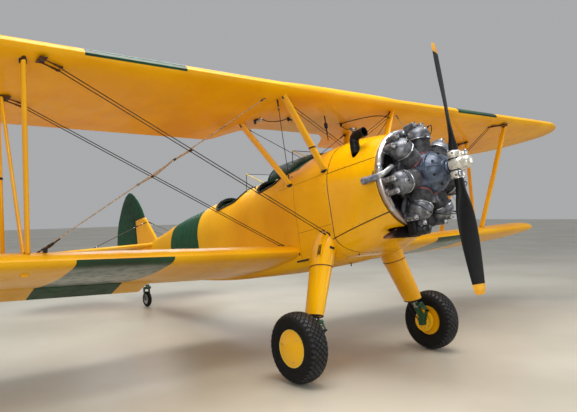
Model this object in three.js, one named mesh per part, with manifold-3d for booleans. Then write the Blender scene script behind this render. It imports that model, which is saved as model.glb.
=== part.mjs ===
// Two-seat open-cockpit training biplane, standing tail down on its gear.
// Every piece is drawn level (x to port, y aft, z up, propeller hub at zero).
// The airframe is then tipped onto its wheels.
import * as THREE from 'three';
import { mergeVertices } from 'three/addons/utils/BufferGeometryUtils.js';
import { ConvexGeometry } from 'three/addons/geometries/ConvexGeometry.js';
import Module from 'manifold-3d';

const wasm = await Module();
wasm.setup();

// Driving dimensions in millimetres and degrees
const PITCH = 10.98;
const SPAN_UPPER = 9800;
const SPAN_LOWER = 9484;
const CHORD = 1522;
const AIRFOIL = { camber: 0.02, camberAt: 0.2, thickness: 0.13, tail: 0.004 };
const UPPER = { leY: 1109, z: 1065, dihedral: 0.48, incidence: 3.2 };
const LOWER = { leY: 1741, z: -510, dihedral: 1.9, incidence: 3.9 };
const SPAR_FRONT = 0.09;
const SPAR_REAR = 0.595;
const CENTRE_HALF = 860;
const TRACK = 1962;
const AXLE = { y: 1338, z: -1408 };
const TYRE_R = 327;
const WHEEL_R = 158;
const TAIL_WHEEL = { y: 6407, z: -625, r: 128 };
const PROP_R = 1155;
const COWL_FRONT_Y = 540;
const COWL_FRONT_R = 472;
const FIREWALL_Y = 1200;
const CYLINDER_Y = 335;
const GAP = 0.3;
const D = Math.PI / 180;

// Paints and metals
const PAINTS = {
  yellow: [0xf2a90a, 0.35, 0.0],
  green: [0x0f4a2c, 0.4, 0.0],
  grey: [0x6d737a, 0.5, 0.7],
  castGrey: [0x566273, 0.55, 0.3],
  steel: [0xb9bcc0, 0.3, 0.9],
  exhaust: [0x8d8279, 0.35, 0.9],
  black: [0x141518, 0.5, 0.1],
  hub: [0xd9d8cf, 0.35, 0.6],
  rubber: [0x17171a, 0.85, 0.0],
  glass: [0xaebfc2, 0.08, 0.0],
  darkGreen: [0x25462f, 0.7, 0.0],
};

function paint(name) {
  const [color, roughness, metalness] = PAINTS[name];
  const material = new THREE.MeshStandardMaterial({ color, roughness, metalness });
  material.name = name;
  return material;
}

// Closed solid through a row of rings of equal length
function loft(rings) {
  const n = rings[0].length;
  const position = [];
  const index = [];
  rings.forEach((ring) => ring.forEach((p) => position.push(p[0], p[1], p[2])));
  for (let i = 0; i + 1 < rings.length; i++) {
    for (let j = 0; j < n; j++) {
      const a = i * n + j;
      const b = i * n + ((j + 1) % n);
      index.push(a, b, b + n, a, b + n, a + n);
    }
  }
  [0, rings.length - 1].forEach((k, end) => {
    const c = [0, 1, 2].map((axis) => rings[k].reduce((s, p) => s + p[axis], 0) / n);
    const centre = position.length / 3;
    position.push(...c);
    for (let j = 0; j < n; j++) {
      const a = k * n + j;
      const b = k * n + ((j + 1) % n);
      if (end === 0) index.push(centre, b, a);
      else index.push(centre, a, b);
    }
  });
  const geometry = new THREE.BufferGeometry();
  geometry.setAttribute('position', new THREE.Float32BufferAttribute(position, 3));
  geometry.setIndex(index);
  return outward(geometry);
}

function signedVolume(geometry) {
  const p = geometry.attributes.position;
  const index = geometry.index;
  const a = new THREE.Vector3(), b = new THREE.Vector3(), c = new THREE.Vector3();
  let volume = 0;
  for (let i = 0; i < index.count; i += 3) {
    a.fromBufferAttribute(p, index.getX(i));
    b.fromBufferAttribute(p, index.getX(i + 1));
    c.fromBufferAttribute(p, index.getX(i + 2));
    volume += a.dot(b.cross(c)) / 6;
  }
  return volume;
}

function outward(geometry) {
  if (signedVolume(geometry) < 0) {
    const index = geometry.index;
    for (let i = 0; i < index.count; i += 3) {
      const first = index.getX(i);
      index.setX(i, index.getX(i + 2));
      index.setX(i + 2, first);
    }
  }
  return geometry;
}

function welded(geometry) {
  const bare = geometry.clone();
  bare.deleteAttribute('normal');
  bare.deleteAttribute('uv');
  return outward(mergeVertices(bare, 1e-3));
}

function solid(geometry) {
  const g = welded(geometry);
  return new wasm.Manifold(new wasm.Mesh({
    numProp: 3,
    vertProperties: new Float32Array(g.attributes.position.array),
    triVerts: new Uint32Array(g.index.array),
  }));
}

function shape(manifold) {
  const mesh = manifold.getMesh();
  const geometry = new THREE.BufferGeometry();
  const points = Array.from(mesh.vertProperties);
  geometry.setAttribute('position', new THREE.Float32BufferAttribute(points, 3));
  geometry.setIndex(Array.from(mesh.triVerts));
  return geometry;
}

function largest(manifold) {
  return manifold.decompose().sort((a, b) => Math.abs(b.volume()) - Math.abs(a.volume()))[0];
}

// Trims the end of a piece so that it rests a hair's breadth off its neighbour
function seat(piece, neighbour, move) {
  return largest(piece.subtract(neighbour.translate(move)));
}

const join = (...pieces) => pieces.reduce((a, b) => a.add(b));

function box(x0, x1, y0, y1, z0, z1) {
  const g = new THREE.BoxGeometry(x1 - x0, y1 - y0, z1 - z0);
  g.translate((x0 + x1) / 2, (y0 + y1) / 2, (z0 + z1) / 2);
  return solid(g);
}

// Round bar between two points
function bar(from, to, radius, sides = 10, radiusTo = radius) {
  const a = new THREE.Vector3(...from);
  const b = new THREE.Vector3(...to);
  const g = new THREE.CylinderGeometry(radiusTo, radius, a.distanceTo(b), sides);
  const direction = b.clone().sub(a).normalize();
  g.applyQuaternion(new THREE.Quaternion().setFromUnitVectors(new THREE.Vector3(0, 1, 0), direction));
  const m = a.add(b).multiplyScalar(0.5);
  g.translate(m.x, m.y, m.z);
  return solid(g);
}

// Turned piece about the y axis from [radius, y] pairs
function turnedY(profile, sides) {
  return solid(new THREE.LatheGeometry(profile.map(([r, y]) => new THREE.Vector2(r, y)), sides));
}

// Turned piece about the x axis from [radius, x] pairs
function turnedX(profile, sides, roll = 0) {
  const g = new THREE.LatheGeometry(profile.map(([r, x]) => new THREE.Vector2(r, x)), sides);
  g.rotateZ(-Math.PI / 2);
  g.rotateX(roll);
  return solid(g);
}

const mirrored = (manifold) => manifold.mirror([1, 0, 0]);

// Value of a table column at y, eased through its neighbours
function along(table, column, y) {
  const n = table.length;
  let i = 0;
  while (i < n - 2 && y > table[i + 1].y) i++;
  const at = (k) => table[Math.min(n - 1, Math.max(0, k))];
  const p0 = at(i - 1), p1 = at(i), p2 = at(i + 1), p3 = at(i + 2);
  const h = p2.y - p1.y;
  const t = Math.min(1, Math.max(0, (y - p1.y) / h));
  const slope = (p, q) => (q[column] - p[column]) / (q.y - p.y);
  const m1 = p1 === p0 ? slope(p1, p2) : slope(p0, p2);
  const m2 = p3 === p2 ? slope(p1, p2) : slope(p1, p3);
  const t2 = t * t;
  const t3 = t2 * t;
  return (2 * t3 - 3 * t2 + 1) * p1[column] + (t3 - 2 * t2 + t) * h * m1
    + (3 * t2 - 2 * t3) * p2[column] + (t3 - t2) * h * m2;
}

// Fuselage sections: half width, deck top, top of the flat side, belly, belly corner radius
const BODY = [
  { y: 1200, half: 478, top: 552, side: 20, belly: -640, corner: 210 },
  { y: 1500, half: 470, top: 548, side: 20, belly: -662, corner: 170 },
  { y: 1900, half: 455, top: 542, side: 20, belly: -668, corner: 120 },
  { y: 2500, half: 432, top: 486, side: 20, belly: -668, corner: 110 },
  { y: 3000, half: 412, top: 484, side: 20, belly: -650, corner: 110 },
  { y: 3600, half: 378, top: 474, side: 20, belly: -602, corner: 110 },
  { y: 4200, half: 326, top: 446, side: 20, belly: -532, corner: 100 },
  { y: 4800, half: 268, top: 416, side: 20, belly: -455, corner: 85 },
  { y: 5400, half: 206, top: 350, side: 20, belly: -368, corner: 66 },
  { y: 6000, half: 138, top: 292, side: 20, belly: -275, corner: 46 },
  { y: 6520, half: 42, top: 262, side: 20, belly: -186, corner: 18 },
];

function bodySection(y, inset = 0) {
  const half = along(BODY, 'half', y) - inset;
  const top = along(BODY, 'top', y) - inset;
  const side = along(BODY, 'side', y);
  const belly = along(BODY, 'belly', y) + inset;
  const corner = Math.max(4, along(BODY, 'corner', y) - inset);
  const right = [];
  for (const a of [0, 30, 60, 90]) {
    right.push([half - corner + corner * Math.sin(a * D), belly + corner - corner * Math.cos(a * D)]);
  }
  for (const a of [0, 18, 36, 54, 72]) {
    right.push([half * Math.cos(a * D), side + (top - side) * Math.sin(a * D)]);
  }
  const left = right.slice().reverse().map(([x, z]) => [-x, z]);
  return [...right, [0, top], ...left].map(([x, z]) => [x, y, z]);
}

function bodySolid(y0, y1, steps, inset = 0) {
  const rings = [];
  for (let i = 0; i <= steps; i++) rings.push(bodySection(y0 + ((y1 - y0) * i) / steps, inset));
  return solid(loft(rings));
}

// Cowl rings run from a circle behind the cylinders to the first body section
function cowlSolid(inset, y0, y1) {
  const end = bodySection(FIREWALL_Y, inset);
  const rings = [];
  const steps = 5;
  for (let i = 0; i <= steps; i++) {
    const y = y0 + ((y1 - y0) * i) / steps;
    const t = (y - COWL_FRONT_Y) / (FIREWALL_Y - COWL_FRONT_Y);
    const blend = Math.sin(Math.min(1, Math.max(0, t)) * Math.PI / 2);
    rings.push(end.map(([x, , z]) => {
      const angle = Math.atan2(z + 20, x);
      const r = COWL_FRONT_R - inset;
      const round = [r * Math.cos(angle), r * Math.sin(angle) - 8];
      return [round[0] * (1 - blend) + x * blend, y, round[1] * (1 - blend) + z * blend];
    }));
  }
  return solid(loft(rings));
}

// Wing section ring: round nose, thin tail, drawn over a chord line that may be shortened
function airfoilRing(n, length, depth) {
  const { camber, camberAt, thickness, tail } = AIRFOIL;
  const upper = [], lower = [];
  for (let i = 0; i <= n; i++) {
    const s = 0.5 * (1 - Math.cos((Math.PI * i) / n));
    const depthAt = 0.2969 * Math.sqrt(s) - 0.126 * s - 0.3516 * s ** 2 + 0.2843 * s ** 3 - 0.1036 * s ** 4;
    const half = 5 * thickness * depthAt + (tail * s) / 2;
    const fore = (camber / camberAt ** 2) * (2 * camberAt * s - s * s);
    const aft = (camber / (1 - camberAt) ** 2) * (1 - 2 * camberAt + 2 * camberAt * s - s * s);
    const mean = s < camberAt ? fore : aft;
    upper.push([s * length, (mean + half) * depth]);
    if (i > 0) lower.push([s * length, (mean - half) * depth]);
  }
  return [...upper.reverse(), ...lower];
}

function wingRing(wing, x, lead, length, depth, n = 9) {
  const c = Math.cos(wing.incidence * D);
  const s = Math.sin(wing.incidence * D);
  const z0 = wing.z + Math.abs(x) * Math.tan(wing.dihedral * D);
  return airfoilRing(n, length, depth).map(([along_, up]) => {
    const a = along_ + lead;
    return [x, wing.leY + a * c + up * s, z0 - a * s + up * c];
  });
}

// Outer panel on the port side with a rounded tip
function wingPanel(wing, root, tip) {
  const leadRun = 400;
  const tailRun = 820;
  const peak = 0.27 * CHORD;
  const fromTip = [tailRun, 640, 400, 260, 140, 60, 18, 2];
  const stations = [root, (root + tip - tailRun) / 2, ...fromTip.map((d) => tip - d)];
  const rings = stations.map((x) => {
    const u = Math.max(0, (x - (tip - leadRun)) / leadRun);
    const v = Math.max(0, (x - (tip - tailRun)) / tailRun);
    const lead = peak * (1 - Math.sqrt(1 - u * u));
    const rear = peak + (CHORD - peak) * Math.sqrt(1 - v * v);
    const length = rear - lead;
    return wingRing(wing, x, lead, length, CHORD * Math.min(1, Math.pow(length / CHORD, 0.8)));
  });
  return solid(loft(rings));
}

// Height and fore-and-aft place of the chord line at a span station and a share of the chord
function surface(wing, x, share) {
  const rise = Math.abs(x) * Math.tan(wing.dihedral * D);
  const fall = share * CHORD * Math.tan(wing.incidence * D);
  return [wing.leY + share * CHORD, wing.z + rise - fall];
}

// Hinge lug on the fixed side with a pin in a notch of the moving side
const LUG = { half: 5, slot: 12, pin: 7, hole: 7.4 };
function hingeLug(p, ahead, along_) {
  const tip = (k) => p.map((v, i) => v + along_[i] * k);
  const [x, y, z] = p;
  const across = Math.abs(along_[0]) > 0.5;
  const block = (thin, wide, front, back) => {
    const [hx, hz] = across ? [thin, wide] : [wide, thin];
    return box(x - hx, x + hx, y - front, y + back, z - hz, z + hz);
  };
  return {
    lug: block(LUG.half, 13, ahead, 13).subtract(bar(tip(-20), tip(20), LUG.hole, 12)),
    notch: block(LUG.slot, 90, 90, 27),
    pin: bar(tip(-18), tip(18), LUG.pin, 12),
  };
}

const nodes = new Map();
function add(name, manifold, colour, pivot = [0, 0, 0]) {
  const g = shape(manifold.simplify(0.08).translate([-pivot[0], -pivot[1], -pivot[2]]));
  const mesh = new THREE.Mesh(g, paint(colour));
  mesh.name = name;
  mesh.position.set(...pivot);
  nodes.set(name, mesh);
  return mesh;
}

// Fuselage shell, open at two cockpits, closed by the firewall and by the rear bulkhead
const WALL = 16;
const COCKPITS = [
  { name: 'front', y0: 2020, y1: 2580, half: 345 },
  { name: 'rear', y0: 2900, y1: 3550, half: 312 },
];
const bodyOuter = bodySolid(FIREWALL_Y, 6520, 16);
const bodyInner = bodySolid(FIREWALL_Y + 20, 3700, 7, WALL);
function cockpitCut({ y0, y1, half }) {
  const r = 150;
  const outline = new THREE.Shape();
  outline.moveTo(-half + r, y0);
  outline.lineTo(half - r, y0);
  outline.absarc(half - r, y0 + r, r, -Math.PI / 2, 0);
  outline.absarc(half - r, y1 - r, r, 0, Math.PI / 2);
  outline.absarc(-half + r, y1 - r, r, Math.PI / 2, Math.PI);
  outline.absarc(-half + r, y0 + r, r, Math.PI, Math.PI * 1.5);
  const g = new THREE.ExtrudeGeometry(outline, { depth: 800, bevelEnabled: false, curveSegments: 4 });
  g.translate(0, 0, 60);
  return solid(g);
}
let fuselage = bodyOuter.subtract(bodyInner);
COCKPITS.forEach((c) => { fuselage = fuselage.subtract(cockpitCut(c)); });

// Cowl shell with the baffle behind the cylinders
const cowlOuter = cowlSolid(0, COWL_FRONT_Y, FIREWALL_Y - GAP);
const cowlInner = cowlSolid(12, COWL_FRONT_Y + 14, FIREWALL_Y + 20);
const engineHole = bar([0, 400, 0], [0, 700, 0], 245, 24);
let cowl = cowlOuter.subtract(cowlInner).subtract(engineHole);

// Crankcase: nose, seven-sided power section, rear housing and the block back to the firewall
const nose = turnedY([
  [0, 62], [52, 62], [60, 86], [112, 104], [150, 160], [176, 232], [190, 258], [0, 258],
], 24);
const POWER_FLAT = 210;
const powerR = POWER_FLAT / Math.cos(Math.PI / 7);
const power = new THREE.CylinderGeometry(powerR, powerR, 200, 7);
power.rotateY(Math.PI / 7);
power.translate(0, CYLINDER_Y + 16, 0);
const rearHousing = turnedY([
  [0, 440], [196, 440], [196, 452], [232, 456], [232, 540], [190, 575], [150, 600],
  [150, FIREWALL_Y - GAP], [0, FIREWALL_Y - GAP],
], 20);
const shaft = bar([0, 50, 0], [0, 70, 0], 30, 14);
add('engine_crankcase', join(nose, solid(power), rearHousing, shaft), 'castGrey');

// Seven cylinders: finned barrel, wider finned head with a smooth dome, and two rocker boxes
const CYLINDER = { sides: 16, barrel: 68, fin: 90, fins: 4, firstFin: 22, finStep: 29, head: 104, top: 262 };
const ROCKER = { x: 50, y: 18, z: 262, wide: 54, long: 116, tall: 56, lean: 0.12 };
function turnedZ(profile, sides) {
  const g = new THREE.LatheGeometry(profile.map(([r, z]) => new THREE.Vector2(r, z)), sides);
  g.rotateX(Math.PI / 2);
  return solid(g);
}
function cylinder() {
  const { barrel, fin, head, top } = CYLINDER;
  const profile = [[0, 0], [80, 0], [80, 10], [barrel, 12]];
  for (let i = 0; i < CYLINDER.fins; i++) {
    const z = CYLINDER.firstFin + i * CYLINDER.finStep;
    profile.push([barrel, z], [fin, z + 4], [fin, z + 12], [barrel, z + 16]);
  }
  profile.push([barrel, 138], [head - 6, 144], [head - 6, 156], [head - 18, 160], [head - 18, 172]);
  profile.push([head, 176], [head, 206], [head - 7, 226], [head - 26, 246], [head - 60, 258], [0, top]);
  let body = turnedZ(profile, CYLINDER.sides);
  for (const side of [-1, 1]) {
    const { wide, long, tall } = ROCKER;
    const outline = [[-long / 2, -tall / 2], [long / 2, -tall / 2], [long / 2, 8], [long / 2 - 20, tall / 2],
      [20 - long / 2, tall / 2], [-long / 2, 8]];
    const rocker = new ConvexGeometry(outline.flatMap(([y, z]) => [-wide / 2, wide / 2].map((x) => (
      new THREE.Vector3(x, y, z)))));
    rocker.rotateX(ROCKER.lean);
    rocker.translate(side * ROCKER.x, ROCKER.y, ROCKER.z);
    body = body.add(solid(rocker));
  }
  return body;
}
const cylinderBody = cylinder();
const cylinderHull = turnedZ([[0, 0], [104.1, 0], [104.1, 262], [0, 262]], CYLINDER.sides)
  .add(box(-80, 80, -46, 84, 226, 300));
const hulls = [];
for (let i = 0; i < 7; i++) {
  const angle = 90 + (360 / 7) * i;
  const place = (m) => m.translate([0, 0, POWER_FLAT + GAP]).rotate([0, 90 - angle, 0])
    .translate([0, CYLINDER_Y, 0]);
  hulls.push(place(cylinderHull));
  add(`cylinder_${i + 1}`, place(cylinderBody), 'grey');
}

// Exhaust collector ring behind the heads, with stubs and the starboard tail pipe
const RING = { r: 446, tube: 38, y: 500 };
const ringShape = new THREE.TorusGeometry(RING.r, RING.tube, 7, 28);
ringShape.rotateX(Math.PI / 2);
ringShape.translate(0, RING.y, 0);
let collector = solid(ringShape);
for (let i = 0; i < 7; i++) {
  const angle = (90 + (360 / 7) * i) * D;
  const onRay = (r, y) => [r * Math.cos(angle), y, r * Math.sin(angle)];
  collector = collector.add(bar(onRay(RING.r - 30, 400), onRay(RING.r, RING.y), 27, 8));
}
const PIPE = { start: [45, 462, -494], end: [-352, 658, -503], rStart: 62, rEnd: 45, wall: 7, bore: 0.45 };
const onPipe = (t) => PIPE.start.map((v, i) => v + (PIPE.end[i] - v) * t);
const pipeBore = bar(onPipe(PIPE.bore), onPipe(1.1), PIPE.rEnd - PIPE.wall, 14);
const elbowJoin = bar([45, 462, -494], [60, 500, -RING.r + 4], 58, 14, 40);
const tailPipe = bar(PIPE.start, PIPE.end, PIPE.rStart, 14, PIPE.rEnd).add(elbowJoin);
collector = collector.add(tailPipe.subtract(pipeBore));
hulls.forEach((c) => {
  collector = largest(collector.subtract(c.translate([0, GAP, 0])));
});
collector = largest(collector.subtract(join(nose, solid(power), rearHousing)));
const pipeRoom = bar(PIPE.start, PIPE.end, PIPE.rStart + 6, 14, PIPE.rEnd + 6);
const pipeNotch = join(pipeRoom, solid(ringShape.clone().translate(0, GAP, 0)), elbowJoin.translate([0, GAP, 0]));
cowl = largest(cowl.subtract(pipeNotch));
add('exhaust_collector', largest(collector), 'exhaust');

// Intake elbow on the starboard shoulder of the cowl
const ELBOW = { x: -350, y: 800, base: 330, turn: 470, mouth: 655, r: 48 };
const inElbow = (dy, z) => [ELBOW.x, ELBOW.y + dy, z];
const elbowMouth = [ELBOW.x, ELBOW.mouth, ELBOW.turn + 22];
const elbowOuter = join(
  bar(inElbow(0, ELBOW.base), inElbow(0, ELBOW.turn + 34), ELBOW.r, 14),
  bar(inElbow(30, ELBOW.turn + 10), elbowMouth, ELBOW.r * 0.94, 14));
const boreStart = [ELBOW.x, ELBOW.mouth - 5, ELBOW.turn + 22];
const elbowBore = bar(boreStart, inElbow(0, ELBOW.turn + 12), ELBOW.r * 0.76, 14);
add('intake_elbow', seat(elbowOuter.subtract(elbowBore), cowlOuter, [-GAP, 0, GAP]), 'black');
add('engine_cowl', cowl, 'yellow');

// Propeller hub and two blades
const hubBody = join(
  turnedY([
    [0, -168], [26, -168], [34, -150], [46, -112], [62, -78], [66, 30], [34, 36], [34, 49.5], [0, 49.5],
  ], 18),
  bar([0, -10, -172], [0, -10, 172], 56, 16),
  bar([0, -10, -176], [0, -10, -128], 66, 16),
  bar([0, -10, 128], [0, -10, 176], 66, 16));
add('propeller_hub', hubBody, 'hub');
const BLADE = [
  { r: 176, chord: 74, thick: 0.95, twist: 50 },
  { r: 250, chord: 92, thick: 0.66, twist: 44 },
  { r: 380, chord: 150, thick: 0.28, twist: 36 },
  { r: 560, chord: 182, thick: 0.17, twist: 28 },
  { r: 760, chord: 180, thick: 0.12, twist: 22 },
  { r: 950, chord: 158, thick: 0.09, twist: 18.5 },
  { r: 1070, chord: 134, thick: 0.08, twist: 17 },
  { r: 1130, chord: 104, thick: 0.07, twist: 16 },
  { r: PROP_R, chord: 40, thick: 0.07, twist: 16 },
];
function blade() {
  const rings = BLADE.map(({ r, chord, thick, twist }) => {
    const ring = [];
    for (let i = 0; i < 12; i++) {
      const a = (Math.PI * 2 * i) / 12;
      const along_ = Math.cos(a) * chord / 2;
      const off = Math.sin(a) * chord * thick / 2;
      const c = Math.cos(twist * D);
      const s = Math.sin(twist * D);
      ring.push([-along_ * c + off * s, -10 - along_ * s - off * c, r]);
    }
    return ring;
  });
  return solid(loft(rings));
}
const bladeBody = blade();
add('propeller_blade_1', bladeBody.translate([0, 0, GAP]), 'black');
add('propeller_blade_2', bladeBody.translate([0, 0, GAP]).rotate([0, 180, 0]), 'black');

// Upper wing: centre section with the trailing edge cut away, and two outer panels
const CUTOUT = [
  { x: CENTRE_HALF, length: 1 },
  { x: 800, length: 0.955 },
  { x: 647, length: 0.79 },
  { x: 507, length: 0.72 },
  { x: 0, length: 0.712 },
];
const starboardCut = CUTOUT.map(({ x, length }) => ({ x: -x, length }));
const cutoutStations = [...starboardCut, ...CUTOUT.slice(0, -1).reverse()];
const flatUpper = { ...UPPER, dihedral: 0 };
const centreRings = cutoutStations.map(({ x, length }) => wingRing(flatUpper, x, 0, CHORD * length, CHORD));
const upperCentre = solid(loft(centreRings));
add('upper_centre_section', upperCentre, 'yellow');
const upperOuter = { ...UPPER, z: UPPER.z - CENTRE_HALF * Math.tan(UPPER.dihedral * D) };
const upperLeft = wingPanel(upperOuter, CENTRE_HALF + GAP, SPAN_UPPER / 2);
add('upper_wing_left', upperLeft, 'yellow');
add('upper_wing_right', mirrored(upperLeft), 'yellow');

// Lower wings trimmed to the fuselage side, with ailerons cut out of the trailing edge
const AILERON = { x0: 1610, x1: 4330, share: 0.8, nose: 42.5, slot: 8 };
const lowerFull = wingPanel(LOWER, 340, SPAN_LOWER / 2);
const hingeAt = (x) => {
  const [y, z] = surface(LOWER, x, AILERON.share);
  return [x, y, z + 0.006 * CHORD];
};
const hingeIn = hingeAt(AILERON.x0 - 60);
const hingeOut = hingeAt(AILERON.x1 + 60);
const slotBar = bar(hingeIn, hingeOut, AILERON.nose + AILERON.slot, 20);
const behind = (grow) => {
  const ring = (x) => {
    const [, y, z] = hingeAt(x);
    return [[x, y, z - 300], [x, y + 700, z - 300], [x, y + 700, z + 300], [x, y, z + 300]];
  };
  return solid(loft([ring(AILERON.x0 - grow), ring(AILERON.x1 + grow)]));
};
const slotEnds = box(AILERON.x0 - 10, AILERON.x1 + 10, 2500, 3400, -1200, 200);
const lowerCut = slotBar.intersect(slotEnds).add(behind(10));
const lowerTrimmed = lowerFull.subtract(lowerCut);
const aileronEnds = box(AILERON.x0, AILERON.x1, 2500, 3400, -1200, 200);
const noseBar = bar(hingeIn, hingeOut, AILERON.nose, 20).intersect(aileronEnds);
let aileronBody = largest(lowerFull.intersect(noseBar.add(behind(0))));
let lowerLeft = seat(lowerTrimmed, bodyOuter, [GAP, 0, 0]);
for (const x of [2150, 3790]) {
  const { lug, notch, pin } = hingeLug(hingeAt(x), 75, [1, 0, Math.tan(LOWER.dihedral * D)]);
  lowerLeft = lowerLeft.add(lug);
  aileronBody = aileronBody.subtract(notch).add(pin);
}
const padY = LOWER.leY + SPAR_FRONT * CHORD + 120;
const PAD_Z = LOWER.z + 3136 * Math.tan(LOWER.dihedral * D) - 92;
lowerLeft = lowerLeft.add(box(3106, 3166, padY - 30, padY + 30, PAD_Z, PAD_Z + 40));
add('lower_wing_left', lowerLeft, 'yellow');
add('lower_wing_right', mirrored(lowerLeft), 'yellow');
const portPivot = hingeAt((AILERON.x0 + AILERON.x1) / 2);
const starboardPivot = [-portPivot[0], portPivot[1], portPivot[2]];

// Parked with the starboard aileron down and the port one up, each turned about its own hinge line
const AILERON_REST = 17;
function aboutHinge(body, pivot, rise, turn) {
  const back = pivot.map((v) => -v);
  return body.translate(back).rotate([0, rise, 0]).rotate([turn, 0, 0]).rotate([0, -rise, 0]).translate(pivot);
}
add('aileron_left', aboutHinge(aileronBody, portPivot, LOWER.dihedral, AILERON_REST), 'yellow', portPivot);
const starboardAileron = aboutHinge(mirrored(aileronBody), starboardPivot, -LOWER.dihedral, -AILERON_REST);
add('aileron_right', starboardAileron, 'yellow', starboardPivot);

// Streamlined strut between two points
function strut(from, to, chord, thick, n = 12) {
  const ring = ([x, y, z], scale = 1) => {
    const points = [];
    for (let i = 0; i < n; i++) {
      const a = (Math.PI * 2 * i) / n;
      const u = Math.cos(a);
      points.push([x + Math.sin(a) * thick * (0.5 - 0.12 * u) * scale, y + u * chord * 0.5 * scale, z]);
    }
    return points;
  };
  return solid(loft([ring(from), ring(to)]));
}

// Cabane and interplane struts: feet and heads on the spar lines
const upperY = (share) => UPPER.leY + share * CHORD;
const lowerY = (share) => LOWER.leY + share * CHORD;
const upperUnder = (x, share) => surface(upperOuter, x, share)[1] - 30;
const lowerTop = (x, share) => surface(LOWER, x, share)[1] + 40;
const CABANES = [
  { name: 'cabane_front', foot: [386, 1232, 200], head: [817, upperY(SPAR_FRONT), 1045] },
  { name: 'cabane_rear', foot: [380, 1797, 205], head: [817, upperY(SPAR_REAR), 985] },
];
CABANES.forEach(({ name, foot, head }) => {
  let s = strut(foot, head, 92, 42);
  s = seat(s, bodyOuter, [GAP, 0, 0]);
  s = seat(s, cowlOuter, [GAP, GAP, 0]);
  add(`${name}_left`, seat(s, upperCentre, [0, 0, -GAP]), 'yellow');
  add(`${name}_right`, seat(mirrored(s), upperCentre, [0, 0, -GAP]), 'yellow');
});
const HEAD_X = 3244;
const FOOT_X = 3136;
const INTERPLANES = [
  { name: 'front', head: SPAR_FRONT, headAft: 0, foot: SPAR_FRONT, footAft: 0, chord: 84, thick: 36 },
  { name: 'rear', head: SPAR_REAR, headAft: 0, foot: SPAR_REAR, footAft: 0, chord: 84, thick: 36 },
  { name: 'diagonal', head: SPAR_REAR, headAft: -105, foot: SPAR_FRONT, footAft: 100, chord: 62, thick: 28 },
];
INTERPLANES.forEach(({ name, head, headAft, foot, footAft, chord, thick }) => {
  const low = [FOOT_X, lowerY(foot) + footAft, lowerTop(FOOT_X, foot + footAft / CHORD)];
  const high = [HEAD_X, upperY(head) + headAft, upperUnder(HEAD_X, head + headAft / CHORD)];
  let s = strut(low, high, chord, thick);
  s = seat(s, lowerFull, [0, 0, GAP]);
  s = seat(s, upperLeft, [0, 0, -GAP]);
  add(`strut_${name}_left`, s, 'yellow');
  add(`strut_${name}_right`, mirrored(s), 'yellow');
});

// Rigging: paired flying wires, landing wires and the spreader rod that joins them where they cross
const WIRE_R = 4.5;
const WIRE_PAIR = 24;
const frontY = { upper: upperY(SPAR_FRONT), lower: lowerY(SPAR_FRONT) };
const rearY = { upper: upperY(SPAR_REAR), lower: lowerY(SPAR_REAR) };
const FLY_FRONT = { foot: [460, 1258, -401], head: [3150, frontY.upper + 74, 1130] };
const FLY_REAR = { foot: [455, 1930, -450], head: [3150, rearY.upper + 90, 1070] };
const LAND_FRONT = { head: [905, frontY.upper + 60, 1045], foot: [3110, frontY.lower + 55, -360] };
const LAND_REAR = { head: [905, rearY.upper + 60, 1000], foot: [3110, rearY.lower + 55, -400] };
function crossing(fly, land) {
  const slope = (w) => (w.head[2] - w.foot[2]) / (w.head[0] - w.foot[0]);
  const apart = land.foot[2] - fly.foot[2] + slope(fly) * fly.foot[0] - slope(land) * land.foot[0];
  const x = apart / (slope(fly) - slope(land));
  const at = (w) => w.foot[1] + (w.head[1] - w.foot[1]) * (x - w.foot[0]) / (w.head[0] - w.foot[0]);
  return { x, z: fly.foot[2] + slope(fly) * (x - fly.foot[0]), flyY: at(fly), landY: at(land) };
}
const aft = ([x, y, z], dy) => [x, y + dy, z];
const wire = (w, dy) => bar(aft(w.foot, dy), aft(w.head, dy), WIRE_R, 6);
const crossFront = crossing(FLY_FRONT, LAND_FRONT);
const crossRear = crossing(FLY_REAR, LAND_REAR);
const SPREADER_R = 8;
const atCross = (c, y) => [c.x, y, c.z];
const rodFront = atCross(crossFront, Math.min(crossFront.flyY, crossFront.landY) - 50);
const endFront = atCross(crossFront, Math.max(crossFront.flyY, crossFront.landY) + 60);
const endRear = atCross(crossRear, Math.min(crossRear.flyY, crossRear.landY) - 60);
const rodRear = atCross(crossRear, Math.max(crossRear.flyY, crossRear.landY) + 50);
const pairs = [FLY_FRONT, FLY_REAR].flatMap((w) => [wire(w, -WIRE_PAIR), wire(w, WIRE_PAIR)]);
let rigging = join(
  ...pairs,
  wire(LAND_FRONT, 0),
  wire(LAND_REAR, 0),
  bar(rodFront, endFront, SPREADER_R, 8),
  bar(endFront, endRear, SPREADER_R, 8),
  bar(endRear, rodRear, SPREADER_R, 8));
rigging = seat(rigging, bodyOuter, [GAP, 0, 0]);
rigging = seat(rigging, lowerLeft, [0, 0, GAP]);
rigging = seat(rigging, join(upperLeft, upperCentre), [0, 0, -GAP]);

// Main gear: cantilever leg fairing, lower strut with axle and torque link, wheel and tyre
const LEG = [
  { x: 380, y: 1350, z: -330, chord: 300, thick: 130 },
  { x: 470, y: 1350, z: -520, chord: 330, thick: 170 },
  { x: 543, y: 1350, z: -690, chord: 300, thick: 150 },
  { x: 730, y: 1338, z: -1140, chord: 252, thick: 116 },
  { x: 738, y: 1338, z: -1160, chord: 236, thick: 106 },
];
function legSolid() {
  return solid(loft(LEG.map(({ x, y, z, chord, thick }) => {
    const ring = [];
    for (let i = 0; i < 16; i++) {
      const a = (Math.PI * 2 * i) / 16;
      const u = Math.cos(a);
      const side = Math.sin(a) * thick;
      ring.push([x + side * (0.5 - 0.14 * u), y + chord * (0.5 * u + 0.06), z + side * 0.2]);
    }
    return ring;
  })));
}
let leg = seat(legSolid(), bodyOuter, [GAP, 0, -GAP]);
leg = largest(leg.subtract(lowerLeft.translate([0, -GAP, 0])));
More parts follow.
